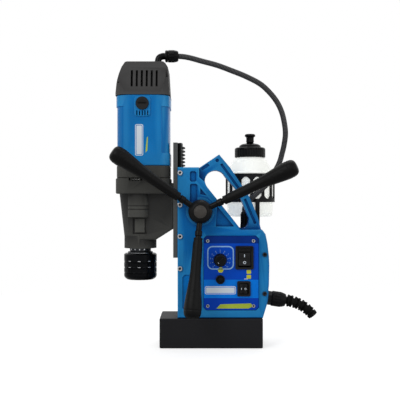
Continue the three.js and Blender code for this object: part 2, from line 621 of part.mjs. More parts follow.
const armMiddle = (hubBack + hubFront) / 2;
const armPlaces = ARM_ANGLES.map((angle) => {
  const across = THREE.MathUtils.degToRad(angle);
  const tilt = THREE.MathUtils.degToRad(ARM_TILT);
  const direction = new THREE.Vector3(
    Math.cos(across) * Math.cos(tilt), -Math.sin(tilt), Math.sin(across) * Math.cos(tilt));
  return new THREE.Matrix4().compose(
    new THREE.Vector3(0, armMiddle, 0),
    new THREE.Quaternion().setFromUnitVectors(new THREE.Vector3(0, 0, 1), direction),
    new THREE.Vector3(1, 1, 1),
  );
});
const ARM_START = FEED_SHAFT_RADIUS + 3;
feed.add(part('feed_hub', without(
  turned('y', [0, 0], [[0, hubFront], [13, hubFront], [17.5, hubFront + 3], [HUB_RADIUS, hubFront + 8],
    [HUB_RADIUS, hubBack - 3], [HUB_RADIUS - 2, hubBack], [0, hubBack]], 24),
  rod('y', [0, 0], [hubFront - 1, hubBack + 1], FEED_SHAFT_RADIUS + GAP, 20),
  ...armPlaces.map((place) =>
    rod('z', [0, 0], [5, 40], ARM_RADIUS + GAP, 12).transform(place.elements)),
), DARK_GREY, 0.4, 0.4));
feed.add(part('hub_cap', joined(
  turned('y', [0, 0], [[0, hubFront - 5], [9, hubFront - 5], [11, hubFront - 3.4], [11, hubFront - GAP],
    [0, hubFront - GAP]], 20),
  rod('y', [0, 0], [hubFront - 1, shaftFront - GAP], FEED_SHAFT_RADIUS, 16),
), TAIL_GREY, 0.4, 0.5));

const gripProfile = [[0, ARM_LENGTH + GAP], [ARM_RADIUS + GAP, ARM_LENGTH + GAP],
  [ARM_RADIUS + GAP, GRIP_START]].concat([[0.5, 0], [0.55, 0.1], [0.61, 0.45], [0.76, 0.62], [0.9, 0.75],
  [1, 0.87], [0.96, 0.94], [0.8, 0.98], [0.5, 1], [0, 1.005]]
  .map(([r, t]) => [r * GRIP_RADIUS, GRIP_START + t * GRIP_LENGTH]));
armPlaces.forEach((place, i) => {
  const arm = new THREE.Group();
  place.decompose(arm.position, arm.quaternion, arm.scale);
  arm.add(part(`feed_arm_${i + 1}`, rod('z', [0, 0], [ARM_START, ARM_LENGTH], ARM_RADIUS, 12),
    BLACK, 0.35, 0.5));
  arm.add(part(`feed_grip_${i + 1}`, turned('z', [0, 0], gripProfile, 12), BLACK, 0.6, 0));
  feed.add(arm);
});

// ---------------------------------------------------------------- gearbox
const LAYSHAFT_AT = [LAYSHAFT_X, LAYSHAFT_Y];
const bracketOutline = [[SPINDLE_X, 288], [BAR_BACK - GAP, 288], [BAR_BACK - GAP, 207], [-97, 188],
  [SPINDLE_X, 188]];
const motorSection = (grow, corner = 20) => roundedRect(
  [MOTOR_X - MOTOR_HALF_WIDTH - grow, MOTOR_X + MOTOR_HALF_WIDTH + grow],
  [-MOTOR_HALF_WIDTH - grow, MOTOR_HALF_WIDTH + grow], corner, 3);
const frontBulge = rod('z', [SPINDLE_X - 1.5, -25], [228, 270], 19, 20);
const grooves = [241, 247].map((z) => without(
  rod('z', [SPINDLE_X - 1.5, -25], [z, z + 1.6], 24, 20),
  rod('z', [SPINDLE_X - 1.5, -25], [z - 1, z + 3], 18, 20),
  block([-200, 0], [-30, 100], [z - 1, z + 3]),
));
const ventNotches = [0, 1, 2, 3, 4].map((i) =>
  block([-143 + i * 5, -139.8 + i * 5], [-60, -36], [291.4, GEARBOX_SPLIT + 1]));
carriage.add(part('gearbox_housing', without(
  joined(
    prism('z', motorSection(1), [269, GEARBOX_SPLIT - GAP], 1.5),
    rod('z', [SPINDLE_X, 0], [195, 270], NECK_RADIUS + 0.2, 28, NECK_RADIUS + 8.8),
    rod('z', [SPINDLE_X, 0], [NECK_BOTTOM, 196], NECK_RADIUS, 28),
    prism('y', bracketOutline, [-30, 30], 2),
    frontBulge,
    rod('z', LAYSHAFT_AT, [232, 271], 18, 18),
  ),
  prism('z', roundedRect([-152, -86], [-38, 43.8], 19, 3), [273, GEARBOX_SPLIT + 1]),
  rod('z', [SPINDLE_X, 0], [246, 274], 19.5, 20),
  rod('z', LAYSHAFT_AT, [246, 274], 12.5, 16),
  rod('z', LAYSHAFT_AT, [238, 247], 5 + GAP, 12),
  rod('z', [SPINDLE_X, 0], [NECK_BOTTOM - 1, 247], SPINDLE_RADIUS + GAP, 20),
  block([-138, -113], [-60, -25], [198, 228]),
  ...grooves,
  ...ventNotches,
).add(block([-134, -117], [-28, -24], [201, 225])), DARK_GREY, 0.5, 0.4));
carriage.add(part('gearbox_cover', without(
  prism('z', motorSection(-0.6), [GEARBOX_SPLIT, MOTOR_BOTTOM], 1),
  rod('z', [MOTOR_X, 0], [GEARBOX_SPLIT - 1, MOTOR_BOTTOM + 1], 9.5, 20),
  rod('z', [MOTOR_X, 0], [308, MOTOR_BOTTOM + 1], 36, 20),
  rod('z', LAYSHAFT_AT, [GEARBOX_SPLIT - 1, 303], 5 + GAP, 12),
), DARK_GREY, 0.5, 0.4));

// ---------------------------------------------------------------- gears of the drill
const DRIVE_BACKLASH = 0.6;
const ADDENDUM = 0.8;
const towards = (dx, dy) => Math.atan2(dy, dx);
// Start angle of the driven gear that puts a gap where the driver has a tooth.
const toMotor = towards(MOTOR_X - LAYSHAFT_X, -LAYSHAFT_Y);
const toSpindle = towards(SPINDLE_X - LAYSHAFT_X, -LAYSHAFT_Y);
const layshaftGear = gearOutline(LAYSHAFT_GEAR_TEETH, DRIVE_MODULE, toMotor, DRIVE_BACKLASH, ADDENDUM);
const layshaftPinion = gearOutline(LAYSHAFT_PINION_TEETH, DRIVE_MODULE, toSpindle, DRIVE_BACKLASH, ADDENDUM);
carriage.add(part('layshaft', joined(
  rod('z', LAYSHAFT_AT, [239, 302], 5, 14),
  prism('z', moved(layshaftGear, LAYSHAFT_AT), [280, 291]),
  prism('z', moved(layshaftPinion, LAYSHAFT_AT), [252, 267]),
), 0x8e9196, 0.35, 0.9));

const motorPinion = gearOutline(MOTOR_PINION_TEETH, DRIVE_MODULE,
  toMotor + Math.PI + Math.PI / MOTOR_PINION_TEETH, DRIVE_BACKLASH, ADDENDUM);
const fanBlades = Array.from({ length: 8 }, (_, i) =>
  block([12, 34], [-1, 1], [323, 334]).rotate([0, 0, i * 45]));
motor.add(part('armature', joined(
  prism('z', motorPinion, [278, 298]),
  rod('z', [0, 0], [297, 317], 9.2, 14),
  rod('z', [0, 0], [316, 480], 6, 10),
  rod('z', [0, 0], [321, 324], 34, 20),
  ...fanBlades,
  rod('z', [0, 0], [345, 405], 26.3, 20),
  rod('z', [0, 0], [414, 437], 13, 16),
), 0x9a7b4f, 0.4, 0.7));

const spindleGear = gearOutline(SPINDLE_GEAR_TEETH, DRIVE_MODULE,
  toSpindle + Math.PI + Math.PI / SPINDLE_GEAR_TEETH, DRIVE_BACKLASH, ADDENDUM);
const NOSE_RADIUS = NECK_RADIUS - 5;
spindleLine.add(part('spindle', joined(
  prism('z', spindleGear, [253, 266]),
  rod('z', [0, 0], [NECK_BOTTOM - 2, 272], SPINDLE_RADIUS, 20),
  turned('z', [0, 0], [[0, CHUCK_TOP + GAP], [NOSE_RADIUS - 2, CHUCK_TOP + GAP],
    [NOSE_RADIUS - 2, CHUCK_TOP + 4], [NOSE_RADIUS, CHUCK_TOP + 5.5],
    [NOSE_RADIUS, NECK_BOTTOM - GAP], [0, NECK_BOTTOM - GAP]], 24),
), STEEL, 0.25, 0.95));
const HOLDER_RADIUS = CHUCK_RADIUS - 8;
spindleLine.add(part('chuck_body', without(
  turned('z', [0, 0], [[0, CHUCK_BOTTOM], [HOLDER_RADIUS + 2.5, CHUCK_BOTTOM],
    [HOLDER_RADIUS + 4, CHUCK_BOTTOM + 1.5], [HOLDER_RADIUS + 4, CHUCK_BOTTOM + 3],
    [HOLDER_RADIUS, CHUCK_BOTTOM + 3], [HOLDER_RADIUS, CHUCK_TOP], [0, CHUCK_TOP]], 24),
  rod('z', [0, 0], [CHUCK_BOTTOM - 1, CHUCK_TOP - 8], TOOL_BORE_RADIUS, 18),
), 0x33363a, 0.3, 0.8));
const gripRing = (z) => [[CHUCK_RADIUS, z], [CHUCK_RADIUS - 1.6, z + 1.2], [CHUCK_RADIUS - 1.6, z + 3.4],
  [CHUCK_RADIUS, z + 4.6]];
spindleLine.add(part('chuck_sleeve', turned('z', [0, 0], [
  [HOLDER_RADIUS + GAP, CHUCK_BOTTOM + 3 + GAP],
  [HOLDER_RADIUS + 4 + GAP, CHUCK_BOTTOM + 3 + GAP],
  [HOLDER_RADIUS + 4 + GAP, CHUCK_BOTTOM + 1.5],
  [CHUCK_RADIUS - 3, CHUCK_BOTTOM + 1.5],
  [CHUCK_RADIUS - 0.6, CHUCK_BOTTOM + 5],
  [CHUCK_RADIUS, CHUCK_BOTTOM + 8],
  ...[131, 141].flatMap(gripRing),
  [CHUCK_RADIUS, CHUCK_TOP - 2],
  [CHUCK_RADIUS - 2, CHUCK_TOP],
  [HOLDER_RADIUS + GAP, CHUCK_TOP],
  [HOLDER_RADIUS + GAP, CHUCK_BOTTOM + 3 + GAP],
], 24), BLACK, 0.35, 0.6));

// ---------------------------------------------------------------- motor
const BRUSH_HEIGHT = 425.5;
const BRUSH_FACE = MOTOR_HALF_WIDTH + 2.8;
const flankPanels = [-1, 1].map((side) => without(
  prism('z', moved(motorSection(6, 24), [-MOTOR_X, 0]), [340, 421]),
  prism('z', moved(motorSection(-1.4), [-MOTOR_X, 0]), [339, 422]),
  block(side < 0 ? [-33, 60] : [-60, 33], [-60, 60], [338, 423]),
));
const brushFrame = (side) => prism('y', roundedRect([-14, 14], [403, 438], 5, 2),
  side < 0 ? [-BRUSH_FACE, -30] : [30, BRUSH_FACE], 1);
const brushSlots = [0, 1, 2, 3, 4].flatMap((i) => [-1, 1].map((side) =>
  block([-10.4 + i * 4.7, -8.4 + i * 4.7], side < 0 ? [-60, -30] : [30, 60], [404.5, 413])));
motor.add(part('motor_housing', without(
  joined(
    prism('z', moved(motorSection(0), [-MOTOR_X, 0]), [MOTOR_BOTTOM + GAP, MOTOR_TOP], 1.2),
    brushFrame(-1),
    brushFrame(1),
  ),
  rod('z', [0, 0], [MOTOR_BOTTOM - 1, MOTOR_TOP + 1], MOTOR_BORE, 24),
  ...flankPanels,
  ...brushSlots,
  rod('y', [0, BRUSH_HEIGHT], [-60, 60], 7.7 + GAP, 16),
), 0x0573be, 0.4, 0.05));
['front', 'back'].forEach((side, i) => {
  const cap = part(`brush_cap_${side}`, without(
    joined(
      rod('y', [0, BRUSH_HEIGHT], [-BRUSH_FACE - GAP - 3, -BRUSH_FACE - GAP], 11.4, 20),
      rod('y', [0, BRUSH_HEIGHT], [-BRUSH_FACE - 1, -34], 7.7, 16),
      rod('y', [0, BRUSH_HEIGHT], [-35, -13 - GAP], 4, 8),
    ),
    block([-7, 7], [-BRUSH_FACE - 5, -BRUSH_FACE - 2], [BRUSH_HEIGHT - 0.9, BRUSH_HEIGHT + 0.9]),
  ), BLACK, 0.4, 0);
  cap.rotation.set(0, 0, i * Math.PI);
  motor.add(cap);
});
motor.add(part('motor_stator', without(
  rod('z', [0, 0], [345, 405], MOTOR_BORE - GAP - 0.3, 24),
  rod('z', [0, 0], [344, 406], 27.2, 20),
), 0x6e6f72, 0.5, 0.7));

const OUTLINE_FRONT = [[-168.5, MOTOR_TOP + GAP], [-168.5, 446], [-164, 468], [-156.6, 490], [-151, 500],
  [-148, TAIL_TOP], [-84, TAIL_TOP], [-79.7, 497], [-75.6, 490], [-73, 446], [-72, MOTOR_TOP + GAP]];
const OUTLINE_SIDE = [[-48, MOTOR_TOP + GAP], [-48, 448], [-45, 470], [-39, 490], [-33, TAIL_TOP],
  [33, TAIL_TOP], [39, 490], [45, 470], [48, 448], [48, MOTOR_TOP + GAP]];
const HOLLOW_FRONT = [[-163, 440], [-159, 468], [-151, 488], [-84, 488], [-79.5, 468], [-78, 440]];
const HOLLOW_SIDE = [[-42.5, 440], [-40, 470], [-33, 488], [33, 488], [40, 470], [42.5, 440]];
const tapered = (front, side, grow, corner) => prism('y', front, [-60, 60])
  .intersect(prism('x', side, [-180, -60]))
  .intersect(prism('z', motorSection(grow, corner), [430, 510]));
const VENT_WIDTH = 3.5;
const tailVents = [-138, -129.3, -120.6, -112, -103.4, -94.8].flatMap((x) => [[-60, -28], [28, 60]].map((y) =>
  block([x - VENT_WIDTH / 2, x + VENT_WIDTH / 2], y, [455, 484])));
const ELBOW_X = -94.6;
const ELBOW_RADIUS = 6;
const clipNotches = [[-170, -160], [-79, -60]].map((x, i) =>
  block(x, [-60, -40], i ? [472, 510] : [462, 464]));
carriage.add(part('motor_tail_cover', without(
  tapered(OUTLINE_FRONT, OUTLINE_SIDE, 1.8, 22),
  tapered(HOLLOW_FRONT, HOLLOW_SIDE, -3, 18),
  ...tailVents,
  ...clipNotches,
  rod('z', [ELBOW_X, 0], [480, TAIL_TOP + 1], ELBOW_RADIUS + GAP, 14),
).add(rod('z', [MOTOR_X, 0], [472, 489], 11, 16))
  .subtract(rod('z', [MOTOR_X, 0], [470, 482], 6 + GAP, 12)), TAIL_GREY, 0.55, 0.1));

// ---------------------------------------------------------------- conduit
const ELBOW_Z = 516;
const elbowRun = [[ELBOW_X, 0, 488.5], [ELBOW_X, 0, 500], [ELBOW_X, 0, 508], [ELBOW_X + 2.4, 0, 513.6],
  [ELBOW_X + 8, 0, ELBOW_Z], [-77.5, 0, ELBOW_Z]];
carriage.add(part('conduit_elbow', joined(
  tube(elbowRun, ELBOW_RADIUS, 11, 10),
  rod('x', [0, ELBOW_Z], [-82, -77], 10.8, 18),
  rod('x', [0, ELBOW_Z], [-78, -70], 7, 14),
), BLACK, 0.45, 0.2));
carriage.add(part('conduit_nut', without(
  turned('x', [0, ELBOW_Z], [[0, -77 + GAP], [11, -77 + GAP], [11, -66], [9.6, -60], [8, -58.2], [0, -58.2]], 12),
  rod('x', [0, ELBOW_Z], [-78, -69], 7 + GAP, 14),
  rod('x', [0, ELBOW_Z], [-72, -57], CONDUIT_RADIUS + GAP, 10),
), BLACK, 0.4, 0.2));
const conduitRun = [
  [-69.5, 0, ELBOW_Z], [-57, 0, ELBOW_Z], [-40.5, 0, 513.9], [-14.8, 0, 507], [11, 0, 500],
  [36.7, 0, 490.5], [62.6, 0, 480], [88.3, 0, 466.5], [105.6, 0.5, 451], [119, 1.5, 434],
  [128, 3, 415], [133, 5, 394], [134.7, 7, 377], [133, 10, 360], [129.7, 13, 344], [123, 17, 322],
  [104, CONDUIT_LANE - 0.5, 289], [93, CONDUIT_LANE, 278], [80.5, CONDUIT_LANE, 266.5],
  [71, CONDUIT_LANE + 0.6, 257], [63.6, CONDUIT_GLAND_Y - 0.2, 247],
  [CONDUIT_GLAND_X, CONDUIT_GLAND_Y, 238], [CONDUIT_GLAND_X, CONDUIT_GLAND_Y, 224],
];
group.add(part('conduit', tube(conduitRun, CONDUIT_RADIUS, 40, 8), 0x1a1a1a, 0.6, 0.2));
stand.add(part('conduit_gland', without(
  joined(
    rod('z', [CONDUIT_GLAND_X, CONDUIT_GLAND_Y], [BOX_TOP + GAP, 214], 7.8, 6),
    rod('z', [CONDUIT_GLAND_X, CONDUIT_GLAND_Y], [213, 232], 7.4, 16),
    rod('z', [CONDUIT_GLAND_X, CONDUIT_GLAND_Y], [232, 236], 7.4, 16, 6.4),
    rod('z', [CONDUIT_GLAND_X, CONDUIT_GLAND_Y], [198, 208], 5, 12),
  ),
  rod('z', [CONDUIT_GLAND_X, CONDUIT_GLAND_Y], [223.5, 237], CONDUIT_RADIUS + GAP, 12),
), BLACK, 0.45, 0.1));

// ---------------------------------------------------------------- coolant bottle and cage
const NECK_OUTER = 24.5;
const CAP_BORE = NECK_OUTER + 2 * GAP;
const SHOULDER_TOP = 338;
coolant.add(part('bottle', turned('z', [0, 0], [
  [0, BOTTLE_BOTTOM], [BOTTLE_RADIUS - 5, BOTTLE_BOTTOM], [BOTTLE_RADIUS, BOTTLE_BOTTOM + 4],
  [BOTTLE_RADIUS, CAGE_TOP + GAP], [BOTTLE_RADIUS + 2.4, CAGE_TOP + GAP], [BOTTLE_RADIUS + 2.4, CAGE_TOP + 2.4],
  [BOTTLE_RADIUS, CAGE_TOP + 4], [29, SHOULDER_TOP - 1], [NECK_OUTER, SHOULDER_TOP - 0.5],
  [NECK_OUTER, 353], [NECK_OUTER - 2, 353], [NECK_OUTER - 2, SHOULDER_TOP - 2],
  [BOTTLE_RADIUS - 2, CAGE_TOP + 2.5], [BOTTLE_RADIUS - 2, BOTTLE_BOTTOM + 5],
  [BOTTLE_RADIUS - 6, BOTTLE_BOTTOM + 2.2], [0, BOTTLE_BOTTOM + 2.2],
], 24), 0xf0f1ee, 0.35, 0));
coolant.add(part('bottle_cap', turned('z', [0, 0], [
  [CAP_BORE, SHOULDER_TOP + GAP], [29, SHOULDER_TOP + GAP], [29, 355], [27.5, 357], [20, 357.5], [19.5, 361],
  [16, 364], [7.5, 366], [5.5, 366.3], [5.5, 375.5], [0, 375.5], [0, 361], [15, 359.5], [17, 355.6],
  [CAP_BORE, 355.6], [CAP_BORE, SHOULDER_TOP + GAP],
], 20), BLACK, 0.25, 0));
coolant.add(part('bottle_nozzle', turned('z', [0, 0], [
  [5.5 + GAP, 367], [7.6, 367], [7.6, 377.5], [10, 378.5], [10, 381.5], [8, 383], [0, 383],
  [0, 376], [5.5 + GAP, 376], [5.5 + GAP, 367],
], 14), BLACK, 0.3, 0));

const WINDOWS = 13;
const cageWindow = prism('y', roundedRect([-8, 8], [260.5, 300.5], 5, 1), [30, 60]);
const windows = Array.from({ length: WINDOWS }, (_, i) => cageWindow.rotate([0, 0, (i + 0.5) * 360 / WINDOWS + 180]));
const STEM_X = 10.5;
const STEM_FRONT = -Math.sqrt(CAGE_OUTER ** 2 - STEM_X ** 2) - 4;
const STEM_BACK = -Math.sqrt((BOTTLE_RADIUS + 0.9) ** 2 - (STEM_X - 4) ** 2) - 1.2;
coolant.add(part('bottle_bracket', joined(
  without(
    rod('z', [0, 0], [CAGE_BOTTOM, CAGE_TOP], CAGE_OUTER, 26),
    rod('z', [0, 0], [CAGE_BOTTOM - 1, CAGE_TOP + 1], CAGE_OUTER - CAGE_WALL, 26),
    ...windows,
  ),
  block([STEM_X - 4, STEM_X + 4], [STEM_FRONT, STEM_BACK], [BOX_TOP + GAP, CAGE_BOTTOM + 5]),
  block([STEM_X - 7, STEM_X + 5], [STEM_FRONT, STEM_BACK + 9], [BOX_TOP + GAP, BOX_TOP + 4]),
), BLACK, 0.5, 0.1));

export default group;
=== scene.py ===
"""Magnetic drill press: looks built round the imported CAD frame. Metres, +Z up."""
import math
import bmesh
import bpy
from mathutils import Matrix, Vector


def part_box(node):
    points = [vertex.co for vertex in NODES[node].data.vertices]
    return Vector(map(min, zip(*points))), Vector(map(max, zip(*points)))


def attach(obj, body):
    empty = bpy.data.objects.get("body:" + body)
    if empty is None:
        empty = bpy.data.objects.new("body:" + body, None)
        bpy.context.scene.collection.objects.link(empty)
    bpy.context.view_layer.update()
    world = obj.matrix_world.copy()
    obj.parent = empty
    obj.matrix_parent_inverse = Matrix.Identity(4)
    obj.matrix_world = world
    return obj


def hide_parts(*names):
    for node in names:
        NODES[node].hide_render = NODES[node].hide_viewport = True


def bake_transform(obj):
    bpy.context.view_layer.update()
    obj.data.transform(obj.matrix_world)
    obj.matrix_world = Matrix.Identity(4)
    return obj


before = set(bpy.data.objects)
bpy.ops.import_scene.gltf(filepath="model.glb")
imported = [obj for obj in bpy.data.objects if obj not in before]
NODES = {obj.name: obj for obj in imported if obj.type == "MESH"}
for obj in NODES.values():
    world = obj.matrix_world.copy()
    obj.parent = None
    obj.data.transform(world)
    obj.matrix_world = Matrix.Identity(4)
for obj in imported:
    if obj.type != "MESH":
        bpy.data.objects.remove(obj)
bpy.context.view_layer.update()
MM = 0.001
GAP = 0.3


def centre(node):
    lowest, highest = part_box(node)
    return (lowest + highest) / 2


def low(node):
    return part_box(node)[0]


def high(node):
    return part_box(node)[1]


# ---------------------------------------------------------------- camera
CAMERA_DISTANCE = 1.345
CAMERA_AT = Vector((-0.0195, -CAMERA_DISTANCE, 0.258))
camera = bpy.data.objects.new("camera", bpy.data.cameras.new("camera"))
camera.data.lens = 67.4
camera.data.sensor_width = 36
camera.location = CAMERA_AT
camera.rotation_euler = (math.radians(90), 0, 0)
bpy.context.scene.collection.objects.link(camera)
bpy.context.scene.camera = camera
bpy.context.scene.view_settings.view_transform = "Standard"


# ---------------------------------------------------------------- finishes
def linear(rgb):
    def channel(value):
        value /= 255
        return value / 12.92 if value <= 0.04045 else ((value + 0.055) / 1.055) ** 2.4
    return tuple(channel(value) for value in rgb) + (1.0,)


def shaded(rgb, factor):
    return tuple(min(255, value * factor) for value in rgb)


class Finish:
    """Node material: grain and blotches in the colour, uneven gloss, fine bump, and lighter edges that are
    partly wear and partly painted highlight.
    """

    def __init__(self, name, rgb, rough, metal=0.0, vary=0.10, grain=900, bump=0.15, edge_wear_and_highlight=0.0, worn_and_lit_edge=None,
                 slot=None, shine=0.1):
        self.slot = slot
        self.material = bpy.data.materials.new(name)
        self.material.use_nodes = True
        self.tree = self.material.node_tree
        self.shader = self.tree.nodes["Principled BSDF"]
        self.shader.inputs["Metallic"].default_value = metal
        self.shader.inputs["Specular IOR Level"].default_value = shine
        self.where = self.add("ShaderNodeTexCoord").outputs["Object"]
        fine = self.noise(grain, 3)
        broad = self.noise(16, 2)
        dark = linear(shaded(rgb, 1 - vary))
        light = linear(shaded(rgb, 1 + vary))
        tone = self.mix(self.spread(broad, 0.3, 0.7, 0, 1), dark, light)
        speck = self.mix(self.spread(fine, 0.35, 0.65, 0, 0.5), tone, dark)
        # Lighter edges by pointiness: partly wear, partly painted highlight along the rims.
        if edge_wear_and_highlight:
            edge = self.spread(self.add("ShaderNodeNewGeometry").outputs["Pointiness"], 0.50, 0.58, 0, edge_wear_and_highlight)
            speck = self.mix(edge, speck, linear(worn_and_lit_edge or shaded(rgb, 1.5)))
        self.colour = speck
        self.link(speck, self.shader.inputs["Base Color"])
        self.link(self.spread(fine, 0.3, 0.7, max(rough - 0.07, 0.03), min(rough + 0.07, 1)),
                  self.shader.inputs["Roughness"])
        if bump:
            relief = self.add("ShaderNodeBump")
            relief.inputs["Strength"].default_value = bump
            relief.inputs["Distance"].default_value = 0.0004
            self.link(fine, relief.inputs["Height"])
            self.link(relief.outputs["Normal"], self.shader.inputs["Normal"])

    def add(self, kind):
        return self.tree.nodes.new(kind)

    def link(self, source, target):
        self.tree.links.new(source, target)

    def noise(self, scale, detail):
        node = self.add("ShaderNodeTexNoise")
        node.inputs["Scale"].default_value = scale
        node.inputs["Detail"].default_value = detail
        self.link(self.where, node.inputs["Vector"])
        return node.outputs["Fac"]

    def spread(self, value, from_min, from_max, to_min, to_max):
        node = self.add("ShaderNodeMapRange")
        sockets = zip(("From Min", "From Max", "To Min", "To Max"), (from_min, from_max, to_min, to_max))
        for socket, number in sockets:
            node.inputs[socket].default_value = number
        self.link(value, node.inputs["Value"])
        return node.outputs["Result"]

    def mix(self, factor, a, b):
        node = self.add("ShaderNodeMix")
        node.data_type = "RGBA"
        self.link(factor, node.inputs["Factor"])
        for socket, value in ((node.inputs[6], a), (node.inputs[7], b)):
            if isinstance(value, tuple):
                socket.default_value = value
            else:
                self.link(value, socket)
        return node.outputs[2]


BLUE = (0, 108, 184)
stand_blue = Finish("stand_blue", BLUE, 0.42, vary=0.14, grain=700, bump=0.25, edge_wear_and_highlight=0.75,
                    worn_and_lit_edge=(60, 170, 225), shine=0.12)
motor_blue = Finish("motor_blue", (0, 118, 192), 0.33, vary=0.08, grain=1200, bump=0.08, edge_wear_and_highlight=0.5,
                    worn_and_lit_edge=(60, 170, 230), shine=0.12)
magnet_black = Finish("magnet_black", (11, 11, 12), 0.5, vary=0.3, grain=500, bump=0.3, edge_wear_and_highlight=0.5,
                      worn_and_lit_edge=(70, 70, 74))
gearbox_grey = Finish("gearbox_grey", (50, 50, 49), 0.5, vary=0.14, grain=900, bump=0.3, edge_wear_and_highlight=0.5,
                      worn_and_lit_edge=(105, 105, 100))
tail_grey = Finish("tail_grey", (58, 57, 57), 0.55, vary=0.08, grain=1500, bump=0.2, edge_wear_and_highlight=0.4,
                   worn_and_lit_edge=(115, 115, 115))
rod_black = Finish("rod_black", (14, 14, 15), 0.3, vary=0.2, grain=1500, bump=0.05, slot="rod_black")
grip_black = Finish("grip_black", (13, 13, 13), 0.42, vary=0.15, grain=1800, bump=0.2, slot="rubber",
                    shine=0.1)
plastic_black = Finish("plastic_black", (13, 13, 14), 0.42, vary=0.2, grain=1500, bump=0.12, edge_wear_and_highlight=0.3,
                       worn_and_lit_edge=(70, 70, 72), slot="black_plastic")
gloss_black = Finish("gloss_black", (12, 12, 13), 0.16, vary=0.2, grain=800, bump=0.03, slot="gloss_black")
chuck_black = Finish("chuck_black", (18, 19, 21), 0.24, 0.75, vary=0.2, grain=1100, bump=0.08,
                     slot="chuck_black")
slide_black = Finish("slide_black", (24, 26, 25), 0.34, 0.6, vary=0.25, grain=500, bump=0.15, edge_wear_and_highlight=0.6,
                     worn_and_lit_edge=(110, 112, 112))
bright_steel = Finish("bright_steel", (190, 192, 196), 0.2, 1.0, vary=0.08, grain=1200, bump=0.05,
                      slot="spindle_steel")
zinc = Finish("zinc", (168, 171, 176), 0.32, 1.0, vary=0.12, grain=900, bump=0.1, slot="screw_steel")
dark_steel = Finish("dark_steel", (52, 54, 57), 0.35, 0.8, vary=0.2, grain=900, bump=0.1,
                    slot="dark_screw")
gear_steel = Finish("gear_steel", (140, 143, 148), 0.35, 1.0, vary=0.12, grain=700, bump=0.1)
laminations = Finish("laminations", (120, 108, 94), 0.45, 0.7, vary=0.2, grain=600, bump=0.2)
resin = Finish("resin", (92, 48, 30), 0.5, vary=0.2, grain=300, bump=0.2)
board_green = Finish("board_green", (28, 105, 60), 0.4, vary=0.2, grain=500, bump=0.1)
rubber = Finish("rubber", (14, 14, 14), 0.6, vary=0.2, grain=1500, bump=0.3, slot="rubber")
# Painted highlight: the braid's much lighter edge colour stands for light on its strands.
braid = Finish("braid", (26, 26, 27), 0.4, 0.35, vary=0.35, grain=2500, bump=0.4, edge_wear_and_highlight=0.8,
               worn_and_lit_edge=(170, 170, 172), slot="rubber")
print_white = Finish("print_white", (226, 236, 246), 0.4, vary=0.03, grain=1500, bump=0.03)
print_pale = Finish("print_pale", (150, 195, 240), 0.4, vary=0.04, grain=1500, bump=0.03)
print_yellow = Finish("print_yellow", (214, 214, 60), 0.4, vary=0.06, grain=1500, bump=0.03)
print_lime = Finish("print_lime", (186, 204, 70), 0.4, vary=0.08, grain=1500, bump=0.03)
bottle_white = Finish("bottle_white", (246, 248, 244), 0.32, vary=0.02, grain=600, bump=0.04,
                      slot="bottle_white")
bottle_white.shader.inputs["Transmission Weight"].default_value = 0.12
bottle_white.shader.inputs["Subsurface Weight"].default_value = 0.25
bottle_white.shader.inputs["Subsurface Radius"].default_value = (0.01, 0.01, 0.01)
# Painted light: a faint white glow stands for light coming through the plastic.
bottle_white.shader.inputs["Emission Color"].default_value = (1, 1, 0.98, 1)
bottle_white.shader.inputs["Emission Strength"].default_value = 0.3
motor_blue.shader.inputs["Coat Weight"].default_value = 0.06


def shade_recesses(finish, rgb, reach):
    """Painted shade: darker colour where nearby faces close the view, within the given reach in metres."""
    closed = finish.add("ShaderNodeAmbientOcclusion")
    closed.samples = 8
    closed.inputs["Distance"].default_value = reach
    depth = finish.spread(closed.outputs["AO"], 0.35, 0.85, 1, 0)
    finish.link(finish.mix(depth, finish.colour, linear(rgb)), finish.shader.inputs["Base Color"])


shade_recesses(stand_blue, (0, 52, 118), 0.022)
shade_recesses(tail_grey, (14, 14, 14), 0.012)

panel_print = Finish("panel_print", (0, 72, 180), 0.35, vary=0.06, grain=1200, bump=0.04)


def print_bands(finish, bands):
    """Printed bands of colour at set heights: (lowest height in metres, colour)."""
    split = finish.add("ShaderNodeSeparateXYZ")
    finish.link(finish.where, split.inputs["Vector"])
    lowest = 0.05
    highest = 0.21
    ramp = finish.add("ShaderNodeValToRGB")
    ramp.color_ramp.interpolation = "CONSTANT"
    finish.link(finish.spread(split.outputs["Z"], lowest, highest, 0, 1), ramp.inputs["Fac"])
    stops = ramp.color_ramp.elements
    while len(stops) < len(bands):
        stops.new(0.5)
    for stop, (height, rgb) in zip(stops, bands):
        stop.position = max(0, (height - lowest) / (highest - lowest))
        stop.color = linear(rgb)
    grain = finish.spread(finish.noise(40, 2), 0.3, 0.7, 0, 0.25)
    finish.link(finish.mix(grain, ramp.outputs["Color"], linear((0, 60, 160))),
                finish.shader.inputs["Base Color"])


print_bands(panel_print, [(0.05, (0, 66, 190)), (0.0875, (0, 132, 245)), (0.119, (0, 78, 205)),
                          (0.182, (0, 46, 128))])


# ---------------------------------------------------------------- mesh helpers
TO_OPERATOR = Matrix.Rotation(math.pi / 2, 4, "X")
TO_RIGHT = Matrix.Rotation(math.pi / 2, 4, "Y")
SHARP = math.radians(32)


def piece(name, verts, faces, finish, body, stands_for=(), sharp=SHARP):
    mesh = bpy.data.meshes.new(name)
    mesh.from_pydata([tuple(v) for v in verts], [], faces)
    tidy = bmesh.new()
    tidy.from_mesh(mesh)
    bmesh.ops.recalc_face_normals(tidy, faces=tidy.faces)
    tidy.to_mesh(mesh)
    tidy.free()
    mesh.polygons.foreach_set("use_smooth", [True] * len(mesh.polygons))
    mesh.set_sharp_from_angle(angle=sharp)
    mesh.materials.append(finish.material)
    obj = bpy.data.objects.new(name, mesh)
    bpy.context.scene.collection.objects.link(obj)
    if body:
        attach(obj, body)
    if stands_for:
        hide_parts(*stands_for)
    return obj


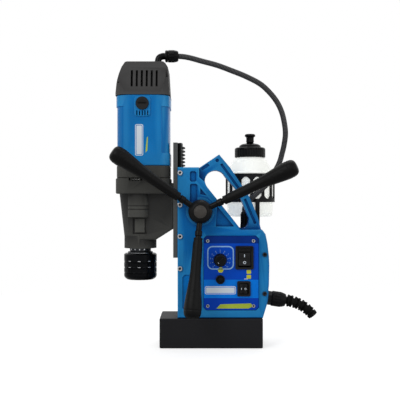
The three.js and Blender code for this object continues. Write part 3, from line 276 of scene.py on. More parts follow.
def turned(name, profile, place, finish, body, stands_for=(), steps=72, ripple=None, sharp=SHARP):
    """Turned piece. Profile points are (radius, height) in mm round the local Z axis; ripple changes
    the radius by angle and height. A profile that doesn't reach the axis closes on itself."""
    verts = []
    rings = []
    for radius, height in profile:
        if radius < 1e-6:
            rings.append([len(verts)])
            verts.append(place @ Vector((0, 0, height * MM)))
            continue
        ring = []
        for i in range(steps):
            angle = 2 * math.pi * i / steps
            r = radius + (ripple(angle, radius, height) if ripple else 0)
            ring.append(len(verts))
            verts.append(place @ (Vector((r * math.cos(angle), r * math.sin(angle), height)) * MM))
        rings.append(ring)
    closed = len(rings[0]) > 1 and len(rings[-1]) > 1
    pairs = list(zip(rings, rings[1:])) + ([(rings[-1], rings[0])] if closed else [])
    faces = []
    for a, b in pairs:
        for i in range(steps):
            j = (i + 1) % steps
            corners = [a[i % len(a)], a[j % len(a)], b[j % len(b)], b[i % len(b)]]
            face = list(dict.fromkeys(corners))
            if len(face) > 2:
                faces.append(face)
    return piece(name, verts, faces, finish, body, stands_for, sharp)


def smooth_path(points, per_span):
    """Catmull-Rom line through the points."""
    path = []
    last = len(points) - 1
    for i in range(last):
        p = [points[max(i - 1, 0)], points[i], points[i + 1], points[min(i + 2, last)]]
        for k in range(per_span):
            t = k / per_span
            linear_part = (p[2] - p[0]) * t
            square_part = (2 * p[0] - 5 * p[1] + 4 * p[2] - p[3]) * t ** 2
            cube_part = (3 * p[1] - p[0] - 3 * p[2] + p[3]) * t ** 3
            path.append(0.5 * (2 * p[1] + linear_part + square_part + cube_part))
    path.append(points[last])
    return path


def even_path(path, spacing):
    """The same line with points at even distances, and those distances."""
    lengths = [0]
    for a, b in zip(path, path[1:]):
        lengths.append(lengths[-1] + (b - a).length)
    count = max(2, round(lengths[-1] / spacing))
    even = []
    k = 0
    for i in range(count + 1):
        wanted = lengths[-1] * i / count
        while k < len(path) - 2 and lengths[k + 1] < wanted:
            k += 1
        t = (wanted - lengths[k]) / (lengths[k + 1] - lengths[k])
        even.append(path[k].lerp(path[k + 1], t))
    return even, lengths[-1]


def swept(name, path, radius, finish, body, stands_for=(), steps=16, sharp=SHARP):
    """Tube along a path; radius(distance, angle) is in metres."""
    side = Vector((0, 1, 0))
    verts = []
    distance = 0
    for i, point in enumerate(path):
        ahead = (path[min(i + 1, len(path) - 1)] - path[max(i - 1, 0)]).normalized()
        side = (side - ahead * side.dot(ahead)).normalized()
        other = ahead.cross(side)
        distance += (point - path[i - 1]).length if i else 0
        for k in range(steps):
            angle = 2 * math.pi * k / steps
            r = radius(distance, angle)
            verts.append(point + side * r * math.cos(angle) + other * r * math.sin(angle))
    faces = []
    for start in range(0, (len(path) - 1) * steps, steps):
        for k in range(steps):
            j = (k + 1) % steps
            faces.append([start + k, start + j, start + steps + j, start + steps + k])
    faces.append(list(range(steps)))
    faces.append(list(range(len(verts) - steps, len(verts))))
    return piece(name, verts, faces, finish, body, stands_for, sharp)


def plate(name, outline, place, depth, finish, body, holes=(), stands_for=()):
    """Flat plate of the given outline in mm, its back on the local XY plane, with optional holes."""
    build = bmesh.new()
    edges = []
    for loop in [outline, *holes]:
        ring = [build.verts.new((x * MM, y * MM, 0)) for x, y in loop]
        edges += [build.edges.new((a, b)) for a, b in zip(ring, ring[1:] + ring[:1])]
    bmesh.ops.triangle_fill(build, edges=edges, use_beauty=True, use_dissolve=True)
    top = bmesh.ops.extrude_face_region(build, geom=build.faces[:])
    moved = [v for v in top["geom"] if isinstance(v, bmesh.types.BMVert)]
    bmesh.ops.translate(build, verts=moved, vec=(0, 0, depth * MM))
    bmesh.ops.transform(build, matrix=place, verts=build.verts[:])
    mesh = bpy.data.meshes.new("shape")
    build.to_mesh(mesh)
    build.free()
    verts = [v.co.copy() for v in mesh.vertices]
    faces = [list(p.vertices) for p in mesh.polygons]
    bpy.data.meshes.remove(mesh)
    return piece(name, verts, faces, finish, body, stands_for)


def arc(cx, cy, radius, start, end, steps):
    angles = [math.radians(start + (end - start) * i / steps) for i in range(steps + 1)]
    return [(cx + radius * math.cos(a), cy + radius * math.sin(a)) for a in angles]


def rounded(width, height, radius, steps=6):
    x = width / 2 - radius
    y = height / 2 - radius
    return (arc(x, -y, radius, -90, 0, steps) + arc(x, y, radius, 0, 90, steps)
            + arc(-x, y, radius, 90, 180, steps) + arc(-x, -y, radius, 180, 270, steps))


def facing(point):
    """Place on a face that looks at the operator: local X right, local Y up, local Z out of the face."""
    return Matrix.Translation(point) @ TO_OPERATOR


def along(direction):
    """Turns local Z to a direction."""
    return Vector((0, 0, 1)).rotation_difference(direction).to_matrix().to_4x4()


def lettering(name, text, size, place, finish, body):
    curve = bpy.data.curves.new(name, "FONT")
    curve.body = text
    curve.size = size
    curve.align_x = "CENTER"
    curve.align_y = "CENTER"
    curve.extrude = 0.00008
    holder = bpy.data.objects.new(name, curve)
    bpy.context.scene.collection.objects.link(holder)
    bpy.context.view_layer.update()
    flat = bpy.data.meshes.new_from_object(holder.evaluated_get(bpy.context.evaluated_depsgraph_get()))
    bpy.data.objects.remove(holder)
    verts = [place @ v.co for v in flat.vertices]
    faces = [list(p.vertices) for p in flat.polygons]
    bpy.data.meshes.remove(flat)
    return piece(name, verts, faces, finish, body)


def dress(node, finish, soft=0.5, angle=38):
    """Shows a CAD node itself, with rounded edges and a finish."""
    obj = NODES[node]
    obj.data.materials.clear()
    obj.data.materials.append(finish.material)
    if "custom_normal" in obj.data.attributes:
        obj.data.attributes.remove(obj.data.attributes["custom_normal"])
    obj.data.polygons.foreach_set("use_smooth", [True] * len(obj.data.polygons))
    weld = obj.modifiers.new("weld", "WELD")
    weld.merge_threshold = 1e-5
    plain = obj.modifiers.new("whole_faces", "DECIMATE")
    plain.decimate_type = "DISSOLVE"
    plain.angle_limit = math.radians(0.6)
    if soft:
        bevel = obj.modifiers.new("soft_edges", "BEVEL")
        bevel.width = soft * MM
        bevel.segments = 2
        bevel.limit_method = "ANGLE"
        bevel.angle_limit = math.radians(angle)
        bevel.miter_outer = "MITER_ARC"
    normals = obj.modifiers.new("even_normals", "WEIGHTED_NORMAL")
    normals.weight = 80
    normals.keep_sharp = True


# ---------------------------------------------------------------- conduit
ELBOW_Z = 516
CONDUIT_LANE = 23.3
GLAND_X = 62
GLAND_Y = CONDUIT_LANE + 2
CONDUIT_ROUTE = [
    (-69.5, 0, ELBOW_Z), (-57, 0, ELBOW_Z), (-40.5, 0, 513.9), (-14.8, 0, 507), (11, 0, 500),
    (36.7, 0, 490.5), (62.6, 0, 480), (88.3, 0, 466.5), (105.6, 0.5, 451), (119, 1.5, 434),
    (128, 3, 415), (133, 5, 394), (134.7, 7, 377), (133, 10, 360), (129.7, 13, 344), (123, 17, 322),
    (104, CONDUIT_LANE - 0.5, 289), (93, CONDUIT_LANE, 278), (80.5, CONDUIT_LANE, 266.5),
    (71, CONDUIT_LANE + 0.6, 257), (63.6, GLAND_Y - 0.2, 247),
    (GLAND_X, GLAND_Y, 238), (GLAND_X, GLAND_Y, 224),
]
CONDUIT_RADIUS = 5 * MM
BRAID_PITCH = 5.2 * MM
BRAID_STRANDS = 7
BRAID_DEPTH = 0.45 * MM
conduit_path, conduit_length = even_path(
    smooth_path([Vector(p) * MM for p in CONDUIT_ROUTE], 24), 0.8 * MM)


def braided(distance, angle):
    turn = 2 * math.pi * distance / BRAID_PITCH
    weave = math.cos(BRAID_STRANDS * angle + turn) * math.cos(BRAID_STRANDS * angle - turn)
    return CONDUIT_RADIUS - BRAID_DEPTH * (0.5 - 0.5 * weave)


conduit = swept("conduit_hose", conduit_path, braided, braid, None, ("conduit",), steps=42, sharp=math.pi)
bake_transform(conduit)


# ---------------------------------------------------------------- CAD pieces that show as they are
hub_grey = Finish("hub_grey", (22, 22, 22), 0.4, 0.2, vary=0.2, grain=900, bump=0.12, slot="hub_grey")
cap_grey = Finish("cap_grey", (72, 69, 66), 0.45, 0.2, vary=0.15, grain=700, bump=0.2, slot="tail_grey")
DRESSED = {
    "magnet_body": (magnet_black, 0.8), "magnet_coil": (resin, 0), "stand_housing": (stand_blue, 0.9),
    "back_cover": (stand_blue, 0.5), "gib_strip": (bright_steel, 0), "control_panel": (panel_print, 0.3),
    "power_switch_body": (plastic_black, 0.4), "magnet_switch_body": (plastic_black, 0.4),
    "power_rocker": (plastic_black, 0.5), "magnet_rocker": (plastic_black, 0.5),
    "speed_potentiometer": (dark_steel, 0), "circuit_board": (board_green, 0),
    "cable_gland": (plastic_black, 0.5), "feed_pinion": (gear_steel, 0),
    "feed_bearing_plug": (gearbox_grey, 0.6), "slide_bar": (slide_black, 0.4),
    "gearbox_housing": (gearbox_grey, 0.9), "gearbox_cover": (gearbox_grey, 0.6),
    "motor_housing": (motor_blue, 1.1), "motor_tail_cover": (tail_grey, 0.7),
    "motor_stator": (laminations, 0), "armature": (gear_steel, 0), "layshaft": (gear_steel, 0),
    "bottle_bracket": (plastic_black, 0.5),
}
for node, (finish, soft) in DRESSED.items():
    dress(node, finish, soft)


# ---------------------------------------------------------------- screws
def hexagon(angle, radius):
    """What to add to a circle's radius to make it a hexagon."""
    within = angle % (math.pi / 3) - math.pi / 6
    return radius * (math.cos(math.pi / 6) / math.cos(within) - 1)


def hexed(radius_of_hex, floor, top):
    """Ripple that makes the ring at the given radius a hexagon, between two heights."""
    def ripple(angle, radius, height):
        if abs(radius - radius_of_hex) > 1e-6 or not floor <= height <= top:
            return 0
        return hexagon(angle, radius)
    return ripple


def socket_screw(node, finish, body="stand"):
    """Socket head screw that faces the operator, sized by its CAD box."""
    box_low, box_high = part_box(node)
    head = (box_high.x - box_low.x) / 2 / MM
    length = (box_high.y - box_low.y) / MM
    middle = centre(node)
    thick = head * 0.62
    socket = head * 0.55
    place = facing((middle.x, box_low.y, middle.z))
    profile = [(0, -thick * 0.6), (socket, -thick * 0.6), (socket, -0.25), (socket + 0.3, 0),
               (head - 0.5, 0), (head - 0.15, -0.15), (head, -0.5), (head, -thick), (head * 0.6, -thick),
               (head * 0.6, -length + 1), (head * 0.45, -length), (0, -length)]
    turned(node + "_piece", profile, place, finish, body, (node,), 48, hexed(socket, -thick, -0.2))
    # Painted shade: a dark disc inside the socket stands for the shade in its hole.
    floor_radius = socket * 0.82
    shadow = [(0, -0.9), (floor_radius, -0.9), (floor_radius, -1.2), (0, -1.2)]
    turned(node + "_socket_shade", shadow, place, gloss_black, body, (), 24)


for i in range(1, 5):
    socket_screw(f"gib_screw_{i}", zinc)
    socket_screw(f"panel_screw_{i}", zinc)
for i in range(1, 4):
    socket_screw(f"housing_screw_{i}", dark_steel)


# ---------------------------------------------------------------- hand feed
def fine(profile, spacing):
    """Profile with extra points, so that relief has something to move."""
    points = [profile[0]]
    for (r0, h0), (r1, h1) in zip(profile, profile[1:]):
        count = max(1, round(math.hypot(r1 - r0, h1 - h0) / spacing))
        points += [(r0 + (r1 - r0) * i / count, h0 + (h1 - h0) * i / count) for i in range(1, count + 1)]
    return points


def rounded_profile(points, radius, steps=4):
    """Profile with its inner corners rounded by a quadratic curve."""
    out = [points[0]]
    for before, corner, after in zip(points, points[1:], points[2:]):
        def towards(end):
            span = math.dist(corner, end)
            share = min(radius, span * 0.45) / span if span else 0
            return corner[0] + (end[0] - corner[0]) * share, corner[1] + (end[1] - corner[1]) * share
        a = towards(before)
        b = towards(after)
        for i in range(steps + 1):
            t = i / steps
            weights = ((1 - t) ** 2, 2 * t * (1 - t), t ** 2)
            out.append(tuple(sum(w * p[k] for w, p in zip(weights, (a, corner, b))) for k in (0, 1)))
    out.append(points[-1])
    return out


hub = centre("feed_hub")
hub_radius = (high("feed_hub").x - low("feed_hub").x) / 2 / MM
hub_length = (high("feed_hub").y - low("feed_hub").y) / MM
hub_place = facing((hub.x, high("feed_hub").y, hub.z))
HUB_BORE = 9.3
hub_profile = rounded_profile([
    (HUB_BORE, 0), (hub_radius - 2, 0), (hub_radius, 3), (hub_radius, hub_length - 9),
    (hub_radius - 3, hub_length - 3.4), (13.5, hub_length), (HUB_BORE, hub_length)], 2.5)
turned("feed_hub_casting", hub_profile, hub_place, hub_grey, "feed", ("feed_hub",), 96)

cap_front = (high("feed_hub").y - low("hub_cap").y) / MM
HUB_CAP_RADIUS = 11
hub_cap_profile = [
    (0, cap_front), (3.6, cap_front - 0.1), (7.4, cap_front - 0.9), (9.6, cap_front - 2),
    (HUB_CAP_RADIUS, cap_front - 3.4), (HUB_CAP_RADIUS, hub_length + GAP), (0, hub_length + GAP)]
FACET = math.pi / 4
FACETED_RADII = (3, 10.5)


def faceted(angle, radius, height):
    if not FACETED_RADII[0] < radius < FACETED_RADII[1]:
        return 0
    within = angle % FACET - FACET / 2
    return radius * (math.cos(FACET / 2) / math.cos(within) - 1) * 0.9


turned("hub_cap_piece", hub_cap_profile, hub_place, cap_grey, "feed", ("hub_cap",), 96, faceted)

ARM_LENGTH = 158
ARM_RADIUS = 5
ARM_COLLAR = 6.3
GRIP_START = 46
GRIP_LENGTH = 136
GRIP_RADIUS = 15
ARM_START = 12
GRIP_SHAPE = [(0.50, 0.0), (0.55, 0.1), (0.61, 0.45), (0.76, 0.62), (0.90, 0.75), (1.0, 0.87), (0.96, 0.94),
              (0.80, 0.98), (0.50, 1.0), (0.0, 1.005)]
grip_points = smooth_path([Vector((r * GRIP_RADIUS, 0, t * GRIP_LENGTH)) for r, t in GRIP_SHAPE], 12)
OVAL_HALF_WIDTH = 4.6
OVAL_HALF_LENGTH = 13
OVAL_AT = 0.76


def grip_relief(operator_angle):
    """Soft lip, end groove and a plain oval pressed into the operator's side."""
    def relief(angle, radius, height):
        share = (height - GRIP_START) / GRIP_LENGTH
        depth = 0.0
        if radius > 6 and 0.02 < share < 0.05:
            depth -= 0.5
        if radius > 10 and 0.895 < share < 0.905:
            depth -= 0.35
        side = math.remainder(angle - operator_angle, 2 * math.pi)
        from_oval = (share - OVAL_AT) * GRIP_LENGTH
        oval = math.hypot(side * radius / OVAL_HALF_WIDTH, from_oval / OVAL_HALF_LENGTH)
        if 0.86 < oval < 1:
            depth -= 0.35
        if radius > 7:
            depth += 0.12 * math.cos(8 * angle)
        return depth
    return relief


arm_profile = [
    (0, ARM_START), (ARM_RADIUS, ARM_START), (ARM_RADIUS, 33), (ARM_COLLAR, 34),
    (ARM_COLLAR, GRIP_START - 4), (ARM_RADIUS, GRIP_START - 3), (ARM_RADIUS, ARM_LENGTH), (0, ARM_LENGTH)]
grip_bore = ARM_RADIUS + GAP
grip_outer = [(grip_bore, GRIP_START)]
grip_outer += [(max(point.x, 0), GRIP_START + point.z) for point in grip_points]
grip_outer[-1] = (0, grip_outer[-1][1])
grip_profile = [(0, ARM_LENGTH + GAP), (grip_bore, ARM_LENGTH + GAP)] + fine(grip_outer, 1.6)
for i in range(1, 4):
    direction = (centre(f"feed_arm_{i}") - hub).normalized()
    place = Matrix.Translation(hub) @ along(direction)
    turned(f"feed_arm_{i}_rod", arm_profile, place, rod_black, "feed", (f"feed_arm_{i}",), 40)
    to_operator = place.to_3x3().inverted() @ Vector((0, -1, 0))
    turned(f"feed_grip_{i}_moulding", grip_profile, place, grip_black, "feed", (f"feed_grip_{i}",), 64,
           grip_relief(math.atan2(to_operator.y, to_operator.x)), math.radians(50))


# ---------------------------------------------------------------- spindle and chuck
spindle_axis = centre("chuck_sleeve")
spindle_place = Matrix.Translation((spindle_axis.x, spindle_axis.y, 0))
sleeve_radius = (high("chuck_sleeve").x - low("chuck_sleeve").x) / 2 / MM
sleeve_top = high("chuck_sleeve").z / MM
chuck_bottom = low("chuck_body").z / MM
neck_bottom = low("gearbox_housing").z / MM


def lobes(count, levels, depth, share=0.35):
    """Evenly spaced notches between the given heights."""
    def ripple(angle, radius, height):
        if not any(bottom <= height <= top for bottom, top in levels):
            return 0
        wave = math.cos(count * angle)
        return -depth * max(0, (wave - 1 + 2 * share) / (2 * share))
    return ripple


SLEEVE_BORE = 21.6
FLANGE_BORE = 25.5
GROOVE_DEPTH = 0.8
SLEEVE_GROOVES = [127.5, 136.5, 146.5]
sleeve_profile = [(SLEEVE_BORE, chuck_bottom + 3.4), (FLANGE_BORE, chuck_bottom + 3.4),
                  (FLANGE_BORE, chuck_bottom + 1.5), (sleeve_radius - 3, chuck_bottom + 1.5),
                  (sleeve_radius - 0.8, chuck_bottom + 4), (sleeve_radius, chuck_bottom + 6.5)]
for groove in SLEEVE_GROOVES:
    sleeve_profile += [(sleeve_radius, groove), (sleeve_radius - GROOVE_DEPTH, groove + 0.5),
                       (sleeve_radius - GROOVE_DEPTH, groove + 1.3), (sleeve_radius, groove + 1.8)]
sleeve_profile += [(sleeve_radius, sleeve_top - 2), (sleeve_radius - 2, sleeve_top),
                   (SLEEVE_BORE, sleeve_top)]
GRIP_BANDS = [(129.8, 136), (139, 146)]
turned("chuck_sleeve_ring", fine(sleeve_profile, 1.0), spindle_place, chuck_black, "chuck_sleeve",
       ("chuck_sleeve",), 144, lobes(20, GRIP_BANDS, 0.6), math.radians(28))
SOCKET_RADIUS = 9.6
CORE_RADIUS = 21.2
LIP_RADIUS = 25.2
body_profile = [(0, sleeve_top - 8), (SOCKET_RADIUS, sleeve_top - 8), (SOCKET_RADIUS, chuck_bottom + 1),
                (SOCKET_RADIUS + 1, chuck_bottom), (LIP_RADIUS - 1.5, chuck_bottom),
                (LIP_RADIUS, chuck_bottom + 1.5), (LIP_RADIUS, chuck_bottom + 3),
                (CORE_RADIUS, chuck_bottom + 3), (CORE_RADIUS, sleeve_top), (0, sleeve_top)]
turned("chuck_body_core", body_profile, spindle_place, chuck_black, "spindle", ("chuck_body",), 72)
spindle_top = high("spindle").z / MM
NOSE_RADIUS = 22.6
COLLAR_RADIUS = 18.7
SHAFT_RADIUS = 10
nose_bottom = sleeve_top + GAP
nose_top = neck_bottom - GAP
spindle_profile = [
    (0, nose_bottom), (NOSE_RADIUS - 0.4, nose_bottom), (NOSE_RADIUS, sleeve_top + 0.7),
    (NOSE_RADIUS, sleeve_top + 1.8), (NOSE_RADIUS - 0.7, sleeve_top + 2.9),
    (COLLAR_RADIUS + 0.6, sleeve_top + 3.5), (COLLAR_RADIUS, sleeve_top + 4.1), (COLLAR_RADIUS, nose_top),
    (SHAFT_RADIUS, nose_top), (SHAFT_RADIUS, spindle_top - 1), (SHAFT_RADIUS - 1, spindle_top),
    (0, spindle_top)]
turned("spindle_nose", spindle_profile, spindle_place, dark_steel, "spindle", ("spindle",), 144)


def ring_of(name, count, radius, height, outline, depth, finish, body):
    """Small plates set round the spindle axis, in one mesh; each reaches into the surface behind it."""
    root = -0.5
    size = len(outline)
    verts = []
    faces = []
    for i in range(count):
        turn = Matrix.Rotation(2 * math.pi * i / count, 4, "Z")
        place = spindle_place @ turn @ Matrix.Translation((0, -radius * MM, height * MM))
        start = len(verts)
        for level in (root, depth):
            verts += [place @ (Vector((x, -level, z)) * MM) for x, z in outline]
        faces.append([start + k for k in range(size)])
        faces.append([start + size + k for k in range(size)])
        faces += [[start + k, start + (k + 1) % size, start + size + (k + 1) % size, start + size + k]
                  for k in range(size)]
    return piece(name, verts, faces, finish, body)


stud = arc(0, 0, 1.25, 0, 330, 11)
ring_of("spindle_nose_studs", 14, COLLAR_RADIUS, neck_bottom - 2.4, stud, 0.45, bright_steel, "spindle")
link = rounded(1.5, 0.5, 0.1, 1)
ring_of("spindle_nose_ring", 90, NOSE_RADIUS, sleeve_top + 0.95, link, 0.12, bright_steel, "spindle")
# Painted highlights: two rows of small bright steel dashes stand for glints on the sleeve's grip.
dash = rounded(5, 1.1, 0.5, 3)
for row, height in (("upper", 149.8), ("lower", 139.2)):
    ring_of(f"chuck_sleeve_highlight_dashes_{row}", 10, sleeve_radius - 0.1, height, dash, 0.25, bright_steel,
            "chuck_sleeve")

# ---------------------------------------------------------------- bottle
bottle_axis = centre("bottle")
bottle_place = Matrix.Translation((bottle_axis.x, bottle_axis.y, 0))
bottle_bottom = low("bottle").z / MM
neck_top = high("bottle").z / MM
cage_top = high("bottle_bracket").z / MM
BOTTLE_RADIUS = 43
RIM_RADIUS = 45.3
BOTTLE_INNER = 40.5
NECK_OUTER = 24.5
NECK_INNER = 22.5
bottle_profile = rounded_profile([
    (0, bottle_bottom + 3), (24, bottle_bottom + 2), (30, bottle_bottom),
    (BOTTLE_RADIUS - 1, bottle_bottom), (BOTTLE_RADIUS, bottle_bottom + 14),
    (BOTTLE_RADIUS, cage_top + 0.5), (RIM_RADIUS, cage_top + 0.7), (RIM_RADIUS, cage_top + 2.3),
    (BOTTLE_RADIUS, cage_top + 3.4),
    (BOTTLE_RADIUS - 2, cage_top + 9), (30, neck_top - 17), (25, neck_top - 15.2),
    (NECK_OUTER, neck_top - 13), (NECK_OUTER, neck_top)], 8)
bottle_profile += [
    (NECK_INNER, neck_top), (NECK_INNER, neck_top - 16), (BOTTLE_INNER, cage_top + 4),
    (BOTTLE_INNER, bottle_bottom + 12), (36, bottle_bottom + 5), (0, bottle_bottom + 5.5)]
turned("bottle_shell", bottle_profile, bottle_place, bottle_white, "bottle", ("bottle",), 96,
       sharp=math.radians(50))
cap_bottom = low("bottle_cap").z / MM
cap_top = high("bottle_cap").z / MM
skirt_top = cap_bottom + 16.7
CAP_RADIUS = 29
CAP_BORE = 25.2
STEM_RADIUS = 5.5
cap_profile = [(CAP_BORE - GAP, cap_bottom + 0.05)] + rounded_profile([
    (CAP_BORE, cap_bottom), (CAP_RADIUS, cap_bottom), (CAP_RADIUS, skirt_top),
    (CAP_RADIUS - 2, skirt_top + 2), (21, skirt_top + 2.6), (20, skirt_top + 6), (16, skirt_top + 8.6),
    (8, skirt_top + 10.4),
    (STEM_RADIUS, skirt_top + 11.6), (STEM_RADIUS, cap_top)], 1.2) + [(0, cap_top)]
ribs = lobes(36, [(cap_bottom + 1.5, skirt_top - 2)], 0.7, 0.5)
turned("bottle_cap_moulding", fine(cap_profile, 1.2), bottle_place, gloss_black, "bottle", ("bottle_cap",),
       144, ribs, math.radians(35))
nozzle_bottom = low("bottle_nozzle").z / MM
nozzle_top = high("bottle_nozzle").z / MM
NOZZLE_BORE = 5.8
NOZZLE_LIP = 10
SPOUT_RADIUS = 2
nozzle_profile = rounded_profile([
    (NOZZLE_BORE, nozzle_bottom), (7.6, nozzle_bottom), (7.2, nozzle_bottom + 5), (7.4, nozzle_bottom + 10),
    (NOZZLE_LIP, nozzle_bottom + 11.4), (NOZZLE_LIP, nozzle_top - 1.6), (NOZZLE_LIP - 2, nozzle_top),
    (SPOUT_RADIUS, nozzle_top), (SPOUT_RADIUS, nozzle_top - 3), (0, nozzle_top - 3)], 0.8)
turned("bottle_nozzle_pull", nozzle_profile + [(0, nozzle_top - 6)], bottle_place, gloss_black, "nozzle",
       ("bottle_nozzle",), 48)

# ---------------------------------------------------------------- conduit fittings
elbow_bottom = low("conduit_elbow").z / MM
ELBOW_X = -94.6
ELBOW_TUBE = 6 * MM
FLANGE_RADIUS = 10.8
NUT_RADIUS = 11
elbow_route = [(ELBOW_X, 0, elbow_bottom), (ELBOW_X, 0, 500), (ELBOW_X, 0, 507.5),
               (ELBOW_X + 2.2, 0, 513.4), (ELBOW_X + 8.2, 0, ELBOW_Z), (-82, 0, ELBOW_Z),
               (-77.5, 0, ELBOW_Z)]
elbow_path, _ = even_path(smooth_path([Vector(p) * MM for p in elbow_route], 12), 1.0 * MM)
swept("conduit_elbow_pipe", elbow_path, lambda distance, angle: ELBOW_TUBE, gloss_black, "carriage",
      ("conduit_elbow",), 32)
along_x = Matrix.Translation((0, 0, ELBOW_Z * MM)) @ TO_RIGHT
elbow_flange = rounded_profile([
    (0, -82), (9.6, -82), (FLANGE_RADIUS, -81), (FLANGE_RADIUS, -77.6), (9.8, -77), (7, -77), (7, -70),
    (0, -70)], 0.5)
turned("conduit_elbow_flange", elbow_flange, along_x, gloss_black, "carriage", (), 64)
nut_profile = rounded_profile([
    (7.4, -76.7), (10.4, -76.7), (NUT_RADIUS, -76), (NUT_RADIUS, -66), (9.8, -60.4), (8, -58.2),
    (5.4, -58.2), (5.4, -70), (7.4, -70)], 0.6)
turned("conduit_nut_moulding", fine(nut_profile, 1.0), along_x, gloss_black, "carriage", ("conduit_nut",),
       96, lobes(12, [(-75.2, -66)], 0.8, 0.6))

gland = centre("conduit_gland")
gland_bottom = low("conduit_gland").z / MM
gland_place = Matrix.Translation((gland.x, gland.y, 0))
BOX_TOP = 206.3
GLAND_HEX_RADIUS = 7.8
GLAND_HEX_TOP = 214
GLAND_HEX_FROM = 6
GLAND_NUT_RADIUS = 7.4
GLAND_BORE = 5.4
hex_profile = [
    (0, gland_bottom), (5, gland_bottom), (5, BOX_TOP), (GLAND_HEX_RADIUS - 0.6, BOX_TOP),
    (GLAND_HEX_RADIUS, BOX_TOP + 0.5), (GLAND_HEX_RADIUS, GLAND_HEX_TOP - 0.6),
    (GLAND_HEX_RADIUS - 0.6, GLAND_HEX_TOP), (0, GLAND_HEX_TOP)]


def gland_hexagon(angle, radius, height):
    return hexagon(angle, radius) if radius > GLAND_HEX_FROM else 0


turned("conduit_gland_base", hex_profile, gland_place, plastic_black, "stand", ("conduit_gland",), 72,
       gland_hexagon)
dome_profile = rounded_profile([
    (GLAND_BORE, 223.8), (GLAND_BORE, 235.8), (6.6, 235.8), (GLAND_NUT_RADIUS, 232),
    (GLAND_NUT_RADIUS, 214.2), (0, 214.2), (0, 223.8)], 0.6)
turned("conduit_gland_nut", fine(dome_profile[2:-2] + [(0, 214.2)], 1.0), gland_place, plastic_black,
       "stand", (), 72, lobes(14, [(215.5, 231)], 0.5, 0.6))

# ---------------------------------------------------------------- cable gland and strain relief
ENTRY_AT = Vector((99, 0, 83)) * MM
ENTRY_DROOP = math.radians(8)
entry = Matrix.Translation(ENTRY_AT) @ Matrix.Rotation(ENTRY_DROOP, 4, "Y")
entry_axis = entry @ TO_RIGHT
ENTRY_NUT_RADIUS = 13.5
ENTRY_NUT_BORE = 10.6
gland_nut_profile = rounded_profile([
    (ENTRY_NUT_BORE, 10), (13.2, 10), (ENTRY_NUT_RADIUS, 11), (ENTRY_NUT_RADIUS, 26), (12.2, 31),
    (10.6, 35), (7.6, 35), (7.6, 16.5), (ENTRY_NUT_BORE, 16.5)], 0.8)
turned("gland_nut_moulding", fine(gland_nut_profile, 1.2), entry_axis, plastic_black, "stand",
       ("gland_nut",), 96, lobes(16, [(12, 25.5)], 0.7, 0.6))
STRAIN_RIBS = 8
STRAIN_PITCH = 0.105
STRAIN_CORE = 6.9
STRAIN_START = Vector((22, 0, 0))
STRAIN_CURVE = [Vector((34, 0, 0)), Vector((66, 0, 1)), Vector((88, 0, -20))]


def strain_point(t):
    a, b, c = STRAIN_CURVE
    return a * (1 - t) ** 2 + b * 2 * t * (1 - t) + c * t ** 2


strain_line = [STRAIN_START, Vector((28, 0, 0))] + [strain_point(i / 60) for i in range(61)]
strain_path, strain_length = even_path([entry @ (point * MM) for point in strain_line], 0.7 * MM)
straight = 12 * MM
curve_length = strain_length - straight


def strain_radius(distance, angle):
    """Ribbed sleeve: full rings joined by short bridges, turned a quarter from one ring to the next."""
    share = (distance - straight) / curve_length
    if share < 0.03:
        return 6.8 * MM
    taper = 11 - 1.4 * share
    if share > 0.9:
        return (taper - 0.4 if share < 0.985 else 8.6) * MM
    phase = (share - 0.1) / STRAIN_PITCH
    if abs(phase - round(phase)) < 0.2 and -0.5 < phase < STRAIN_RIBS - 0.5:
        return taper * MM
    side = abs(math.cos(angle)) if math.floor(phase) % 2 else abs(math.sin(angle))
    bridge = side > 0.87 and 0 < phase < STRAIN_RIBS - 1
    return (taper - 0.9 if bridge else STRAIN_CORE) * MM


swept("strain_relief_sleeve", strain_path, strain_radius, rubber, "stand", ("strain_relief",), 48)
bore_at = strain_path[-1]
bore_ahead = (strain_path[-1] - strain_path[-3]).normalized()
bore_place = Matrix.Translation(bore_at) @ along(bore_ahead)
CORD_BORE = 4.2
mouth_profile = rounded_profile([(8.0, -0.5), (8.0, 0.15), (CORD_BORE, 0.15), (CORD_BORE, -0.5)], 0.3)
turned("strain_relief_mouth", mouth_profile, bore_place, rubber, "stand", (), 48)
bore_floor = [(0, 0.1), (CORD_BORE, 0.1), (CORD_BORE, -0.3), (0, -0.3)]
turned("strain_relief_bore", bore_floor, bore_place, gloss_black, "stand", (), 32)

# ---------------------------------------------------------------- control panel pieces
panel_front = low("control_panel").y
knob = centre("speed_knob")
knob_radius = (high("speed_knob").x - low("speed_knob").x) / 2 / MM
knob_front = low("speed_knob").y
KNOB_DEPTH = 13
knob_place = facing((knob.x, knob_front + KNOB_DEPTH * MM, knob.z))
knob_profile = rounded_profile([
    (0, 0), (knob_radius, 0), (knob_radius, 2), (knob_radius - 0.8, 3), (knob_radius - 1.6, 11.6),
    (knob_radius - 3, KNOB_DEPTH), (0, KNOB_DEPTH - 0.4)], 0.8)
turned("speed_knob_moulding", fine(knob_profile, 0.8), knob_place, plastic_black, "speed_dial",
       ("speed_knob",), 108, lobes(18, [(2.6, 12.2)], 0.8, 0.5))
POINTER_ANGLE = math.radians(232)
POINTER_OUT = 6.2
pointer_at = Vector((math.cos(POINTER_ANGLE) * POINTER_OUT, math.sin(POINTER_ANGLE) * POINTER_OUT,
                     KNOB_DEPTH - 0.38)) * MM
plate("speed_knob_pointer", arc(0, 0, 1.3, 0, 345, 23), knob_place @ Matrix.Translation(pointer_at), 0.25,
      print_white, "speed_dial")

